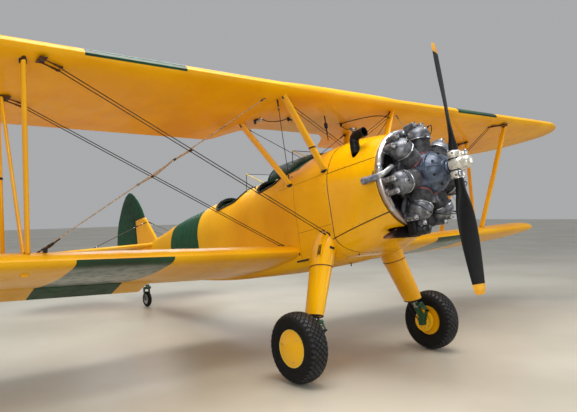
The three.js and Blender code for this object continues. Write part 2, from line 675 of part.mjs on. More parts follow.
const oleo = bar([718, 1337, -1130], [834, 1337, AXLE.z + 20], 34, 12);
const knuckle = join(oleo,
  box(792, 868, 1300, 1376, AXLE.z - 42, AXLE.z + 44),
  bar([800, AXLE.y, AXLE.z], [1052, AXLE.y, AXLE.z], 24, 14),
  bar([842, AXLE.y, AXLE.z], [868, AXLE.y, AXLE.z], 118, 20),
  box(722, 772, 1225, 1310, -1236, -1190),
  box(776, 826, 1240, 1310, -1400, -1366),
  bar([746, 1250, -1214], [762, 1197, -1292], 13, 8),
  bar([762, 1197, -1292], [806, 1262, -1384], 13, 8));
rigging = seat(rigging, leg, [GAP, 0, GAP]);
add('rigging_left', rigging, 'steel');
add('rigging_right', seat(mirrored(rigging), upperCentre, [0, 0, -GAP]), 'steel');
add('gear_leg_left', leg, 'yellow');
add('gear_leg_right', mirrored(leg), 'yellow');
const knuckleLeft = seat(knuckle, legSolid(), [0, 0, -GAP]);
add('gear_knuckle_left', knuckleLeft, 'darkGreen');
add('gear_knuckle_right', mirrored(knuckleLeft), 'darkGreen');

const TYRE = [[WHEEL_R + 3, 62], [176, 86], [210, 106], [255, 113], [294, 101], [317, 76], [TYRE_R, 38]];
const tyreHalf = TYRE.slice().reverse();
const tyre = turnedX([...TYRE.map(([r, x]) => [r, -x]), ...tyreHalf, [WHEEL_R + 3, -62]], 24, PITCH * D);
const wheel = turnedX([
  [24.4, -74], [70, -74], [80, -58], [WHEEL_R + 2.7, -62], [WHEEL_R + 2.7, 62], [150, 70], [90, 78], [0, 86],
  [0, 76], [24.4, 76], [24.4, -74],
], 24, PITCH * D);
for (const [name, side] of [['left', 1], ['right', -1]]) {
  const hub = [side * TRACK / 2, AXLE.y, AXLE.z];
  const turn = (m) => (side > 0 ? m : mirrored(m)).translate(hub);
  add(`tyre_${name}`, turn(tyre), 'rubber', hub);
  add(`wheel_${name}`, turn(wheel), 'yellow', hub);
}

// Tail wheel: fixed strut, swivelling fork, wheel
const swivelY = TAIL_WHEEL.y - 60;
const tailStrut = join(
  bar([0, swivelY, -170], [0, swivelY, -300], 46, 12, 34),
  bar([0, 6100, -200], [0, swivelY - 15, -262], 24, 8),
  box(-24, 24, 6170, 6230, -292, -232));
add('tail_strut', seat(tailStrut, bodyOuter, [0, 0, -GAP]), 'darkGreen');
const fork = join(
  bar([0, swivelY, -300 - GAP], [0, swivelY, -420], 26, 12),
  box(-50, 50, swivelY - 34, TAIL_WHEEL.y + 20, -462, -420),
  box(-50, -38, TAIL_WHEEL.y - 36, TAIL_WHEEL.y + 26, TAIL_WHEEL.z - 26, -440),
  box(38, 50, TAIL_WHEEL.y - 36, TAIL_WHEEL.y + 26, TAIL_WHEEL.z - 26, -440),
  bar([-50, TAIL_WHEEL.y, TAIL_WHEEL.z], [50, TAIL_WHEEL.y, TAIL_WHEEL.z], 9, 10));
add('tail_fork', fork, 'darkGreen', [0, swivelY, -420]);
const tailWheel = turnedX([
  [9.5, -26], [70, -22], [84, -30], [112, -30], [TAIL_WHEEL.r, -14], [TAIL_WHEEL.r, 14], [112, 30], [84, 30],
  [70, 22], [9.5, 26], [9.5, -26],
], 18, PITCH * D);
const tailHub = [0, TAIL_WHEEL.y, TAIL_WHEEL.z];
add('tail_wheel', tailWheel.translate(tailHub), 'rubber', tailHub);

// Flat tail surfaces: an outline in two directions with softened edges
function slab(points, thick, bevel, axis) {
  const outline = new THREE.Shape();
  outline.moveTo(...points[0]);
  points.slice(1).forEach((p) => outline.lineTo(...p));
  outline.closePath();
  const edge = thick * 0.42;
  const g = new THREE.ExtrudeGeometry(outline, {
    depth: thick - 2 * edge,
    bevelEnabled: true,
    bevelThickness: edge,
    bevelSize: bevel,
    bevelOffset: -bevel,
    bevelSegments: 2,
    curveSegments: 4,
  });
  g.translate(0, 0, -(thick - 2 * edge) / 2);
  if (axis === 'x') {
    g.applyMatrix4(new THREE.Matrix4().set(0, 0, 1, 0, 1, 0, 0, 0, 0, 1, 0, 0, 0, 0, 0, 1));
  }
  return solid(g);
}
const HINGE_Y = 6560;
const FIN_TOP = 735;
const finSlab = slab([
  [5740, 240], [5830, 330], [6000, 540], [6150, 722], [6190, FIN_TOP - 4], [HINGE_Y - 34, FIN_TOP - 4],
  [HINGE_Y - 34, 180], [6000, 180],
], 56, 24, 'x');
const fin = seat(finSlab, bodyOuter, [0, 0, GAP]);
const rudderOutline = [
  [HINGE_Y - 22, -170], [6700, -158], [6950, -96], [7180, 20], [7340, 190], [7404, 360], [7409, 470],
  [7360, 650], [7262, 840], [7102, 1037], [6985, 1150], [6858, 1236], [6711, 1277], [6600, 1252],
  [6500, 1180], [6383, 1060], [6268, 905], [6196, FIN_TOP + 12], [HINGE_Y - 22, FIN_TOP + 12],
];
let rudder = slab(rudderOutline, 54, 26, 'x');
const TAIL_Z = 215;
rudder = rudder.subtract(box(-60, 60, 6400, 6640, TAIL_Z - 62, TAIL_Z + 62));
const rudderLugs = [40, 560].map((z) => hingeLug([0, HINGE_Y, z], 60, [0, 0, 1]));
rudderLugs.forEach(({ notch, pin }) => {
  rudder = rudder.subtract(notch).add(pin);
});
rudder = largest(rudder);
add('rudder', rudder, 'green', [0, HINGE_Y, 300]);

// Tailplane halves and the one-piece elevator
const ELEV_Y = 6530;
const stabHalf = [
  [60, 5700], [300, 5800], [900, 6010], [1350, 6170], [1560, 6262], [1668, 6350], [1700, 6440],
  [1704, ELEV_Y - 36], [60, ELEV_Y - 36],
];
let stab = slab(stabHalf, 62, 26, 'z').translate([0, 0, TAIL_Z]);
for (const move of [[GAP, 0, 0], [0, 0, GAP], [0, 0, -GAP]]) stab = seat(stab, bodyOuter, move);
stab = largest(stab.subtract(finSlab));
add('stabilizer_left', stab, 'yellow');
add('stabilizer_right', mirrored(stab), 'yellow');
const elevHalf = [
  [90, ELEV_Y - 24], [1704, ELEV_Y - 24], [1700, 6660], [1640, 6790], [1500, 6910], [1300, 7010],
  [1050, 7080], [800, 7112], [560, 7100], [430, 7060], [360, 6960], [150, 6620], [90, 6580],
];
const elevSlab = slab(elevHalf, 56, 24, 'z').translate([0, 0, TAIL_Z]);
const torqueTube = bar([-130, ELEV_Y, TAIL_Z], [130, ELEV_Y, TAIL_Z], 14, 12);
const elevator = join(elevSlab, mirrored(elevSlab), torqueTube);
fuselage = largest(fuselage.subtract(box(-200, 200, 6490, 6600, TAIL_Z - 34, TAIL_Z + 34)));
const tubeHole = bar([-30, ELEV_Y, TAIL_Z], [30, ELEV_Y, TAIL_Z], 14.5, 12);
const tubeLug = box(-9, 9, 6470, ELEV_Y + 21, TAIL_Z - 21, TAIL_Z + 21).subtract(tubeHole);
fuselage = join(fuselage, tubeLug, rudderLugs[0].lug);
const finNotch = box(-60, 60, 6484, 6600, TAIL_Z - 34, TAIL_Z + 34);
const finBody = largest(fin.subtract(finNotch).add(rudderLugs[1].lug));
add('fin', seat(finBody, tubeLug, [0, 0, GAP]), 'yellow');
add('elevator', elevator, 'yellow', [0, ELEV_Y, TAIL_Z]);
add('fuselage', fuselage, 'yellow');

// Windscreens: a sloping front pane and two flared side panes in one sheet
const SCREENS = [
  { name: 'windscreen_front', y0: 1715, y1: 1955, base: 530, top: 682, foot: 400 },
  { name: 'windscreen_rear', y0: 2605, y1: 2885, base: 482, top: 645, foot: 340 },
];
SCREENS.forEach(({ name, y0, y1, base, top, foot }) => {
  const rise = (top - base) / (y1 - y0);
  const flare = 100 / (y1 - y0);
  const hull = (dx, dy, dz, back) => {
    const points = [];
    for (const side of [-1, 1]) {
      const corner = (x, y, z) => points.push(new THREE.Vector3(side * (x - dx), y + dy, z));
      corner(120, y0, base + dz);
      corner(150, y0, foot);
      corner(220, y1, top + dz);
      corner(300, y1, foot);
      if (back) {
        corner(220 + flare * back, y1 + back, top + dz + rise * back);
        corner(300, y1 + back, foot);
      }
    }
    return solid(new ConvexGeometry(points));
  };
  const sheet = hull(0, 0, 0, 0).subtract(hull(4, 8, -2, 60));
  add(name, seat(sheet, bodyOuter, [0, 0, GAP]), 'glass');
});

// Seats and instrument panels, trimmed to the inside of the shell
const cabin = bodySolid(FIREWALL_Y + 20, 3700, 7, WALL + GAP);
const SEATS = [
  { name: 'seat_front', y: 2430 },
  { name: 'seat_rear', y: 3380 },
];
SEATS.forEach(({ name, y }) => {
  const pan = box(-205, 205, y - 330, y + 60, -330, -250);
  const back = box(-205, 205, y, y + 60, -330, 190);
  let seatBody = join(pan, back);
  for (const side of [-1, 1]) {
    const [x0, x1] = side < 0 ? [-205, -180] : [180, 205];
    const [p0, p1] = side < 0 ? [-160, -120] : [120, 160];
    seatBody = join(
      seatBody,
      box(x0, x1, y - 300, y + 60, -330, -120),
      box(p0, p1, y - 250, y - 210, -655, -300),
      box(p0, p1, y - 20, y + 20, -655, -300));
  }
  add(name, largest(seatBody.intersect(cabin)), 'darkGreen');
});
const PANELS = [
  { name: 'panel_front', y: 1985 },
  { name: 'panel_rear', y: 2868 },
];
PANELS.forEach(({ name, y }) => {
  add(name, largest(cabin.intersect(box(-460, 460, y, y + 14, 110, 600))), 'black');
});

// Airframe tipped about the hub, then set on the ground with its footprint centred
const airframe = new THREE.Group();
airframe.name = 'airframe';
nodes.forEach((mesh) => airframe.add(mesh));
airframe.rotation.x = -PITCH * D;
const stand = new THREE.Group();
stand.name = 'biplane';
stand.add(airframe);
stand.updateMatrixWorld(true);
const bounds = new THREE.Box3().setFromObject(stand, true);
airframe.position.set(0, -(bounds.min.y + bounds.max.y) / 2, -bounds.min.z);
stand.updateMatrixWorld(true);

export default stand;
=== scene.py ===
# %% [markdown]
# # A two-seat training biplane, dressed on its frame
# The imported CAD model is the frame: every part has its place there, in metres, with the
# origin on the floor under the middle of the aircraft. This lesson builds the skin, the
# engine and the small fittings around it, one step at a time, and gives each its finish.

import math

import bmesh
import bpy
import numpy as np
from mathutils import Matrix, Vector


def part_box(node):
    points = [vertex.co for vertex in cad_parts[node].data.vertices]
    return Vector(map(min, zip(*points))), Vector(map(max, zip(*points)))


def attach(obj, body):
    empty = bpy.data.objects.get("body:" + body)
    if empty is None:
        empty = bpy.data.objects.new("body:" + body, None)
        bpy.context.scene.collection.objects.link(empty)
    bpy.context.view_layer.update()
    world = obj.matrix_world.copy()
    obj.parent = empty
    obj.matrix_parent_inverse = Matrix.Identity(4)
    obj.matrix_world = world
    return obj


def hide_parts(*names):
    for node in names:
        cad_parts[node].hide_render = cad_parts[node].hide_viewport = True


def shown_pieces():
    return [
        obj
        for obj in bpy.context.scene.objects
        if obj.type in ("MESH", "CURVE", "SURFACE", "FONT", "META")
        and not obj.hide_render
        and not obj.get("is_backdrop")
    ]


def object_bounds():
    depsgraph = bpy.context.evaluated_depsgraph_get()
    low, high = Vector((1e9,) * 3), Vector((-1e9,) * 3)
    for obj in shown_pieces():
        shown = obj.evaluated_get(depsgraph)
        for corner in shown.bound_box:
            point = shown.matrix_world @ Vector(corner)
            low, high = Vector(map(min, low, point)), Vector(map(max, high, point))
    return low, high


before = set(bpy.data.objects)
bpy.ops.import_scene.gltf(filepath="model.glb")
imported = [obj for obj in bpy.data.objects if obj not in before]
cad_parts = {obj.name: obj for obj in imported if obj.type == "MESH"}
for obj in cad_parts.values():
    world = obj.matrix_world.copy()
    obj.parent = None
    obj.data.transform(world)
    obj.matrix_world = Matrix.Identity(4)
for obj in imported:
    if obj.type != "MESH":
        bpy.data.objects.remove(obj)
cad_low, cad_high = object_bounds()
print("frame:", len(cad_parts), "nodes, from", tuple(cad_low), "to", tuple(cad_high))

# %% [markdown]
# ## Working level
# An aircraft is drawn in its own level axes: x to port, y aft, z up, with the propeller hub
# at zero. It stands tail down, so each finished point is tipped by the parking angle and
# set over the footprint. Drawing level keeps spars, ribs and seams on round numbers.

# %% Level axes to standing axes
PITCH = math.radians(10.98)
SHIFT = Vector((0.0, -3.561858, 1.964069))
TIP = Matrix.Translation(SHIFT) @ Matrix.Rotation(-PITCH, 4, "X")
WHEEL_AXLE = (0.981, 1.338, -1.408)


def standing(points):
    """Level points as an array of standing points."""
    level = np.asarray(points, float).reshape(-1, 3)
    turn = np.array(TIP.to_3x3())
    return level @ turn.T + np.array(SHIFT)


hub_low, hub_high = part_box("tyre_left")
axle = standing([WHEEL_AXLE])[0]
print("axle by the drawing", axle.round(3), "by the frame", ((hub_low + hub_high) / 2)[1:])

# %% [markdown]
# ## Shapes from rings
# Nearly everything on an aircraft is a row of rings: a wing is a row of ribs, a strut is
# a row of ovals, a tube is a circle that follows a path. Three small functions return the
# points and faces of such shapes, and a piece collects them before it becomes one mesh.

# %% Ring shapes


def loft(rings, caps=True, loop=False):
    """Skin through closed rings of equal length; caps close the ends, loop joins them."""
    rings = np.asarray(rings, float)
    count, n = rings.shape[:2]
    spans = count if loop else count - 1
    faces = []
    for i in range(spans):
        a, b = i * n, ((i + 1) % count) * n
        faces += [(a + j, a + (j + 1) % n, b + (j + 1) % n, b + j) for j in range(n)]
    if caps and not loop:
        faces.append(tuple(range(n - 1, -1, -1)))
        faces.append(tuple(range((count - 1) * n, count * n)))
    return rings.reshape(-1, 3), faces


def basis(direction):
    """Two directions square to the given one."""
    d = Vector(direction).normalized()
    side = d.cross(Vector((0, 0, 1)) if abs(d.z) < 0.9 else Vector((0, 1, 0))).normalized()
    return side, d.cross(side)


def tube(path, radius, sides=10, loop=False):
    """Round tube along a path, with one radius or one for each point."""
    path = [Vector(p) for p in path]
    count = len(path)
    radii = [radius] * count if np.isscalar(radius) else [float(r) for r in radius]
    side, _ = basis(path[1] - path[0])
    rings = []
    for i, p in enumerate(path):
        back = path[i - 1] if i or loop else p
        front = path[(i + 1) % count] if i + 1 < count or loop else p
        along = (front - back).normalized()
        side = (side - along * side.dot(along)).normalized()
        up = along.cross(side)
        rings.append([p + radii[i] * (math.cos(t) * side + math.sin(t) * up) for t in turns(sides)])
    return loft(rings, caps=not loop, loop=loop)


def turns(sides, start=0.0):
    return [start + 2 * math.pi * k / sides for k in range(sides)]


PORT, AFT, UP = (1, 0, 0), (0, 1, 0), (0, 0, 1)


def turned(profile, sides, base=(0, 0, 0), axis=AFT, loop=False, start=0.0):
    """Turned piece from (radius, distance along the axis) pairs; radius 0 makes a pole."""
    side, up = basis(axis)
    d = Vector(axis).normalized()
    points, rows = [], []
    for r, h in profile:
        centre = Vector(base) + d * h
        if r < 1e-6:
            rows.append([len(points)])
            points.append(centre)
        else:
            rows.append(list(range(len(points), len(points) + sides)))
            points += [centre + r * (math.cos(t) * side + math.sin(t) * up) for t in turns(sides, start)]
    faces = []
    pairs = list(zip(rows, rows[1:])) + ([(rows[-1], rows[0])] if loop else [])
    for a, b in pairs:
        for k in range(sides):
            q = (k + 1) % sides
            if len(a) == 1 and len(b) > 1:
                faces.append((a[0], b[q], b[k]))
            elif len(b) == 1 and len(a) > 1:
                faces.append((a[k], a[q], b[0]))
            elif len(a) > 1:
                faces.append((a[k], a[q], b[q], b[k]))
    return points, faces


def block(size, centre, turn=None, edge=0.004, steps=2):
    """Box with rounded edges, turned about its middle by a matrix."""
    mesh = bmesh.new()
    bmesh.ops.create_cube(mesh, size=1.0)
    bmesh.ops.scale(mesh, vec=size, verts=mesh.verts)
    bmesh.ops.bevel(mesh, geom=mesh.edges[:], offset=edge, segments=steps, profile=0.5, affect="EDGES")
    place = Matrix.Translation(centre) @ (turn.to_4x4() if turn else Matrix.Identity(4))
    points = [place @ v.co for v in mesh.verts]
    mesh.verts.index_update()
    faces = [tuple(v.index for v in f.verts) for f in mesh.faces]
    mesh.free()
    return points, faces


def slab(outline, half, axis, edge, steps=3):
    """Plate from a flat outline, with edges rounded towards its middle plane."""
    outline = np.asarray(outline, float)
    ahead, behind = np.roll(outline, -1, 0) - outline, outline - np.roll(outline, 1, 0)
    tangent = ahead / np.linalg.norm(ahead, axis=1)[:, None] + behind / np.linalg.norm(
        behind, axis=1
    )[:, None]
    tangent /= np.linalg.norm(tangent, axis=1)[:, None]
    inward = np.stack([-tangent[:, 1], tangent[:, 0]], 1)
    area = np.sum(outline[:, 0] * np.roll(outline[:, 1], -1) - np.roll(outline[:, 0], -1) * outline[:, 1])
    inward *= 1 if area > 0 else -1
    rings = []
    for k in range(-steps, steps + 1):
        lean = math.pi / 2 * k / steps
        flat = outline + inward * edge * (1 - math.cos(lean))
        rings.append([axis_point(u, v, half * math.sin(lean), axis) for u, v in flat])
    return loft(rings)


def axis_point(u, v, w, axis):
    """A point of a flat outline, with w its distance along the plate's axis."""
    return (w, u, v) if axis == "x" else (u, v, w)


# %% A piece that collects shapes


def placed(name, data):
    """A new object in the scene."""
    made = bpy.data.objects.new(name, data)
    bpy.context.scene.collection.objects.link(made)
    return made


class Piece:
    """Points and faces of one piece, in level axes, with a finish for each shape or face."""

    def __init__(self, name):
        self.name, self.points, self.faces, self.finishes, self.marks = name, [], [], [], []

    def add(self, shape, finish, move=None):
        points, faces = shape
        start = len(self.points)
        each = finish if isinstance(finish, list) else [finish] * len(faces)
        self.finishes += [f for f in dict.fromkeys(each) if f not in self.finishes]
        places = {f: k for k, f in enumerate(self.finishes)}
        self.points += [tuple(move @ Vector(p)) if move else tuple(p) for p in points]
        self.faces += [tuple(start + k for k in f) for f in faces]
        self.marks += [places[f] for f in each]
        return self

    def include(self, other, move=None):
        """Adds all of another piece."""
        self.add((other.points, other.faces), [other.finishes[m] for m in other.marks], move)

    def mirrored(self, name):
        """The same piece on the other side."""
        other = Piece(name)
        other.points = [(-x, y, z) for x, y, z in self.points]
        other.faces, other.finishes, other.marks = list(self.faces), list(self.finishes), list(self.marks)
        return other

    def mesh(self, crease=40.0, closed=True):
        data = bpy.data.meshes.new(self.name)
        data.from_pydata([tuple(p) for p in standing(self.points)], [], self.faces)
        for finish in self.finishes:
            data.materials.append(finish)
        data.polygons.foreach_set("material_index", self.marks)
        if closed:
            skin = bmesh.new()
            skin.from_mesh(data)
            bmesh.ops.recalc_face_normals(skin, faces=skin.faces)
            skin.to_mesh(data)
            skin.free()
        smooth(data, crease)
        return data

    def done(self, body, slot, replaces=(), crease=40.0, closed=True):
        """The piece as an object that rides on its body."""
        return settle(placed(self.name, self.mesh(crease, closed)), body, replaces)


def smooth(data, crease):
    data.polygons.foreach_set("use_smooth", [True] * len(data.polygons))
    data.set_sharp_from_angle(angle=math.radians(crease))
    data.update()


def settle(made, body, replaces=()):
    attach(made, body)
    if replaces:
        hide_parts(*replaces)
    return made


def pair(piece, body, slot, nodes, crease=40.0):
    """A port piece and its starboard mirror; body and nodes name the port side."""
    other = piece.mirrored(piece.name.replace("left", "right"))
    swap = [n.replace("left", "right") for n in nodes]
    return (
        piece.done(body, slot, nodes, crease),
        other.done(body.replace("left", "right"), slot, swap, crease),
    )

# %% [markdown]
# ## Shader maths in plain Python
# A finish is mostly sums on coordinates: how far is this point from a rib, is it inside
# the painted band. Node sums are hard to read, so one small class wraps a socket and
# takes part in ordinary expressions, and each operator adds its Math node.

# %% Sockets that take part in sums


class Term:
    """A shader value; Python's operators add Math nodes to its tree."""

    def __init__(self, finish, socket):
        self.finish, self.socket = finish, socket

    def sum(self, operation, *values):
        return self.finish.node("ShaderNodeMath", {"operation": operation}, dict(enumerate(values)))

    def __add__(self, other):
        return self.sum("ADD", self, other)

    def __sub__(self, other):
        return self.sum("SUBTRACT", self, other)

    def __rsub__(self, other):
        return self.sum("SUBTRACT", other, self)

    def __mul__(self, other):
        return self.sum("MULTIPLY", self, other)

    def __truediv__(self, other):
        return self.sum("DIVIDE", self, other)

    def __lt__(self, other):
        return self.sum("LESS_THAN", self, other)

    def __gt__(self, other):
        return self.sum("GREATER_THAN", self, other)

    __radd__, __rmul__ = __add__, __mul__

    def size(self):
        return self.sum("ABSOLUTE", self)

    def wave(self):
        return self.sum("SINE", self)

    def either(self, other):
        return self.sum("MAXIMUM", self, other)

    def step(self, low, high):
        """0 below low, 1 above high, and a smooth rise between them."""
        return self.finish.node(
            "ShaderNodeMapRange", {"interpolation_type": "SMOOTHSTEP"}, {0: self, 1: low, 2: high}
        )

    def apart(self, pitch, start=0.0):
        """Distance to the nearest of the lines that lie a pitch apart."""
        return self.sum("PINGPONG", self - (start + pitch / 2), pitch / 2) * -1 + pitch / 2


class Finish:
    """A procedural material on a piece's Object coordinates, turned back to level axes."""

    def __init__(self, name, roughness=0.5, metallic=0.0, **fixed):
        self.material = bpy.data.materials.new(name)
        self.material.use_nodes = True
        self.tree = self.material.node_tree
        self.surface = self.tree.nodes["Principled BSDF"]
        self.surface.inputs["Roughness"].default_value = roughness
        self.surface.inputs["Metallic"].default_value = metallic
        for socket, value in fixed.items():
            self.surface.inputs[socket.replace("_", " ")].default_value = value
        place = self.node("ShaderNodeTexCoord", output="Object")
        self.level = self.node(
            "ShaderNodeMapping", {"vector_type": "TEXTURE"}, {0: place, 1: tuple(SHIFT), 2: (-PITCH, 0, 0)}
        )

    def node(self, kind, settings=None, inputs=None, output=0):
        """Adds a node: its settings first, then the values or links of its sockets."""
        made = self.tree.nodes.new(kind)
        for name, value in (settings or {}).items():
            if name == "stops":
                for k, (position, colour) in enumerate(value):
                    stop = made.color_ramp.elements[k] if k < 2 else made.color_ramp.elements.new(position)
                    stop.position, stop.color = position, colour
            else:
                setattr(made, name, value)
        for name, value in (inputs or {}).items():
            if isinstance(value, Term):
                self.tree.links.new(value.socket, made.inputs[name])
            else:
                made.inputs[name].default_value = value
        return Term(self, made.outputs[output])

    def axes(self):
        """Level x, y and z of the shaded point."""
        return [self.node("ShaderNodeSeparateXYZ", None, {0: self.level}, k) for k in range(3)]

    def noise(self, scale, detail=3.0, stretch=None):
        where = self.level
        if stretch:
            where = self.node("ShaderNodeMapping", None, {0: self.level, 3: stretch})
        return self.node("ShaderNodeTexNoise", None, {"Vector": where, "Scale": scale, "Detail": detail})

    def mix(self, share, low, high):
        """Colour between low and high."""
        return self.node(
            "ShaderNodeMix", {"data_type": "RGBA", "clamp_factor": True}, {0: share, 6: low, 7: high}, 2
        )

    def feed(self, socket, value):
        self.tree.links.new(value.socket, self.surface.inputs[socket])

    def bump(self, height, metres, strength=1.0):
        """Relief of that many metres where height is 1."""
        node = self.node(
            "ShaderNodeBump", None, {"Height": height, "Distance": metres, "Strength": strength}
        )
        self.feed("Normal", node)


def rgb(red, green, blue):
    """A colour given as it looks on a screen, 0 to 255, as a shader colour."""
    shares = [c / 255 for c in (red, green, blue)]
    return tuple(c / 12.92 if c < 0.04045 else ((c + 0.055) / 1.055) ** 2.4 for c in shares) + (1.0,)


def shade(colour, factor):
    return tuple(c * factor for c in colour[:3]) + (1.0,)


# %% [markdown]
# ## Paint and doped fabric
# The wings and the rear fuselage are cotton fabric under many coats of dope: glossy, but
# with the weave, the rib tapes and their pinked edges still showing. The cowl, legs and
# struts wear the same yellow on metal, smoother. Both come from one recipe, with the
# fabric's relief left out on metal.

# %% Colours
YELLOW = rgb(250, 188, 3)
YELLOW_DEEP = rgb(240, 172, 2)
GREEN = rgb(10, 72, 40)
GREEN_DEEP = rgb(7, 54, 30)


def coated(name, light, deep, roughness=0.3, coat=0.5, relief=None, extra=None):
    """Glossy paint with slow colour changes, faint dirt and an orange-peel surface."""
    paint = Finish(name, Coat_Roughness=0.12, Specular_IOR_Level=0.22)
    slow = paint.noise(1.6, 4.0)
    fine = paint.noise(34.0, 3.0)
    tint = paint.mix(slow.step(0.36, 0.66), deep, light)
    dirt = fine.step(0.62, 0.8) * paint.noise(5.0).step(0.5, 0.7)
    tint = paint.mix(dirt * 0.35, tint, shade(deep, 0.5))
    if extra:
        tint, lines = extra(paint, tint)
    paint.feed("Base Color", tint)
    paint.feed("Roughness", roughness + 0.16 * (paint.noise(11.0).step(0.4, 0.75)) + 0.2 * dirt)
    paint.feed("Coat Weight", coat - 0.3 * dirt)
    height = paint.noise(420.0, 1.0) * 0.06
    if relief:
        height = height + relief(paint)
    if extra:
        height = height - lines
    paint.bump(height, 0.0016)
    return paint.material


def weave(paint):
    """Threads of the cotton, about a millimetre apart, softened by the dope."""
    x, y, z = paint.axes()
    return (x * 3600.0).wave() * (y * 3600.0 + z * 1800.0).wave() * 0.03


TAPE_HALF = 0.026


def taped(pitch, start):
    """Weave and the pinked tapes over ribs that stand a pitch apart across the span."""

    def relief(paint):
        x, y, _ = paint.axes()
        pinks = (y * 700.0).wave() * 0.0018
        off = x.size().apart(pitch, start)
        tape = 1.0 - (off + pinks).step(TAPE_HALF - 0.002, TAPE_HALF + 0.002)
        return tape * 0.28 + weave(paint)

    return relief


RIB = 0.288
WING_RIBS = (RIB, 0.86)
TAIL_RIBS = (0.32, 0.06)
tail_yellow = coated("tail_yellow", YELLOW, YELLOW_DEEP, 0.36, 0.3, taped(*TAIL_RIBS))
metal_yellow = coated("metal_yellow", YELLOW, YELLOW_DEEP, 0.3, 0.65)
cockpit_green = coated("cockpit_green", rgb(66, 92, 58), rgb(46, 68, 44), 0.55, 0.0)


def rudder_marks(paint, tint):
    """The rudder's tapes run fore and aft, so its lines are level ones."""
    _, _, z = paint.axes()
    tape = 1.0 - z.apart(0.27, 0.02).step(TAPE_HALF - 0.002, TAPE_HALF + 0.002)
    return tint, tape * -0.28


rudder_green = coated("rudder_green", GREEN, GREEN_DEEP, 0.5, 0.08, weave, rudder_marks)
fin_yellow = coated("fin_yellow", YELLOW, YELLOW_DEEP, 0.36, 0.3, weave, rudder_marks)
print("paints:", len(bpy.data.materials))

# %% [markdown]
# ## Bare and dark metals, rubber, leather and glass
# The engine is cast aluminium and grey painted steel, polished by hands and browned by
# heat. The tyre's tread studs are paler than the black rubber between them: a painted
# highlight on their crowns and painted shade in the hollows. Each of these is one
# recipe with its own grain, so that nothing is a single flat colour.

# %% Plain finishes


def plain(name, light, deep, roughness, metallic, grain, relief, wear=0.25, coat=0.0, gloss=0.5):
    """A material with mottled colour, uneven gloss and a grain of relief metres."""
    skin = Finish(name, roughness, metallic, Coat_Weight=coat, Specular_IOR_Level=gloss)
    slow = skin.noise(grain * 0.22, 3.0)
    fine = skin.noise(grain, 4.0)
    tint = skin.mix(slow.step(0.35, 0.68), deep, light)
    tint = skin.mix(fine.step(0.6, 0.85) * wear, tint, shade(deep, 0.45))
    skin.feed("Base Color", tint)
    skin.feed("Roughness", roughness - 0.1 + 0.22 * fine)
    skin.bump(fine, relief)
    return skin.material


cast_grey = plain("cast_grey", rgb(136, 139, 146), rgb(90, 93, 101), 0.38, 0.5, 90, 0.0008, wear=0.45)
# Darker blue-grey for the mouth of the side horn: painted shade on its grey metal.
horn_mouth_shade = plain("horn_mouth_shade", rgb(158, 164, 178), rgb(112, 119, 136), 0.32, 0.6, 110, 0.0005)
cast_light = plain("cast_light", rgb(206, 206, 206), rgb(160, 160, 162), 0.34, 0.6, 110, 0.0005)
fin_grey = plain("fin_grey", rgb(146, 147, 152), rgb(104, 105, 110), 0.44, 0.45, 120, 0.0004)
case_blue = plain("case_blue", rgb(98, 110, 130), rgb(62, 71, 88), 0.36, 0.35, 70, 0.0006)
steel = plain("steel", rgb(206, 208, 212), rgb(164, 166, 172), 0.26, 1.0, 160, 0.0002)
dark_steel = plain("dark_steel", rgb(60, 61, 66), rgb(34, 35, 39), 0.4, 0.8, 120, 0.0003)
base_pink = plain("base_pink", rgb(206, 128, 128), rgb(156, 86, 88), 0.5, 0.15, 140, 0.0004)
black_satin = plain("black_satin", rgb(32, 33, 36), rgb(16, 17, 19), 0.36, 0.1, 60, 0.0003, coat=0.2)
black_rubber = plain("black_rubber", rgb(40, 40, 42), rgb(22, 22, 23), 0.62, 0.0, 130, 0.0004)
hub_white = plain("hub_white", rgb(246, 243, 234), rgb(214, 210, 200), 0.3, 0.6, 60, 0.0003)
tip_yellow = plain("tip_yellow", rgb(250, 184, 20), rgb(232, 158, 8), 0.36, 0.0, 60, 0.0002, coat=0.2)
tyre_black = plain("tyre_black", rgb(20, 20, 21), rgb(10, 10, 11), 0.8, 0.0, 110, 0.0006, gloss=0.3)
# Paler rubber for the tread studs: a painted highlight on their crowns.
tread_rubber = plain("tread_rubber", rgb(38, 38, 40), rgb(24, 24, 26), 0.5, 0.0, 110, 0.0003, gloss=0.4)
blade_black = plain("blade_black", rgb(15, 15, 16), rgb(8, 8, 9), 0.46, 0.0, 60, 0.0003, gloss=0.25)
bronze = plain("bronze", rgb(104, 66, 38), rgb(56, 34, 22), 0.46, 0.6, 150, 0.0003)
tan_steel = plain("tan_steel", rgb(206, 188, 164), rgb(168, 146, 122), 0.4, 0.45, 240, 0.0001)
seal_brown = plain("seal_brown", rgb(96, 40, 16), rgb(58, 24, 12), 0.6, 0.0, 120, 0.0002)
webbing = plain("webbing", rgb(128, 116, 84), rgb(96, 86, 60), 0.8, 0.0, 420, 0.0006)
dial_white = plain("dial_white", rgb(228, 226, 214), rgb(206, 204, 190), 0.5, 0.0, 200, 0.0001)


def pipe_finish(name, stops, axis, low, high, roughness):
    """Colours along one level axis, over brushed steel: heat and rust on the tail pipe, a painted
    reflection on the ring.
    """
    skin = Finish(name, roughness, 0.92)
    where = skin.axes()[axis] + skin.noise(9.0) * 0.05
    tint = skin.node("ShaderNodeValToRGB", {"stops": stops}, {0: where.step(low, high)})
    stain = skin.noise(60.0, 4.0)
    skin.feed("Base Color", skin.mix(stain.step(0.5, 0.85) * 0.5, tint, rgb(70, 52, 44)))
    skin.feed("Roughness", roughness - 0.08 + 0.25 * stain)
    skin.bump(stain, 0.0004)
    return skin.material
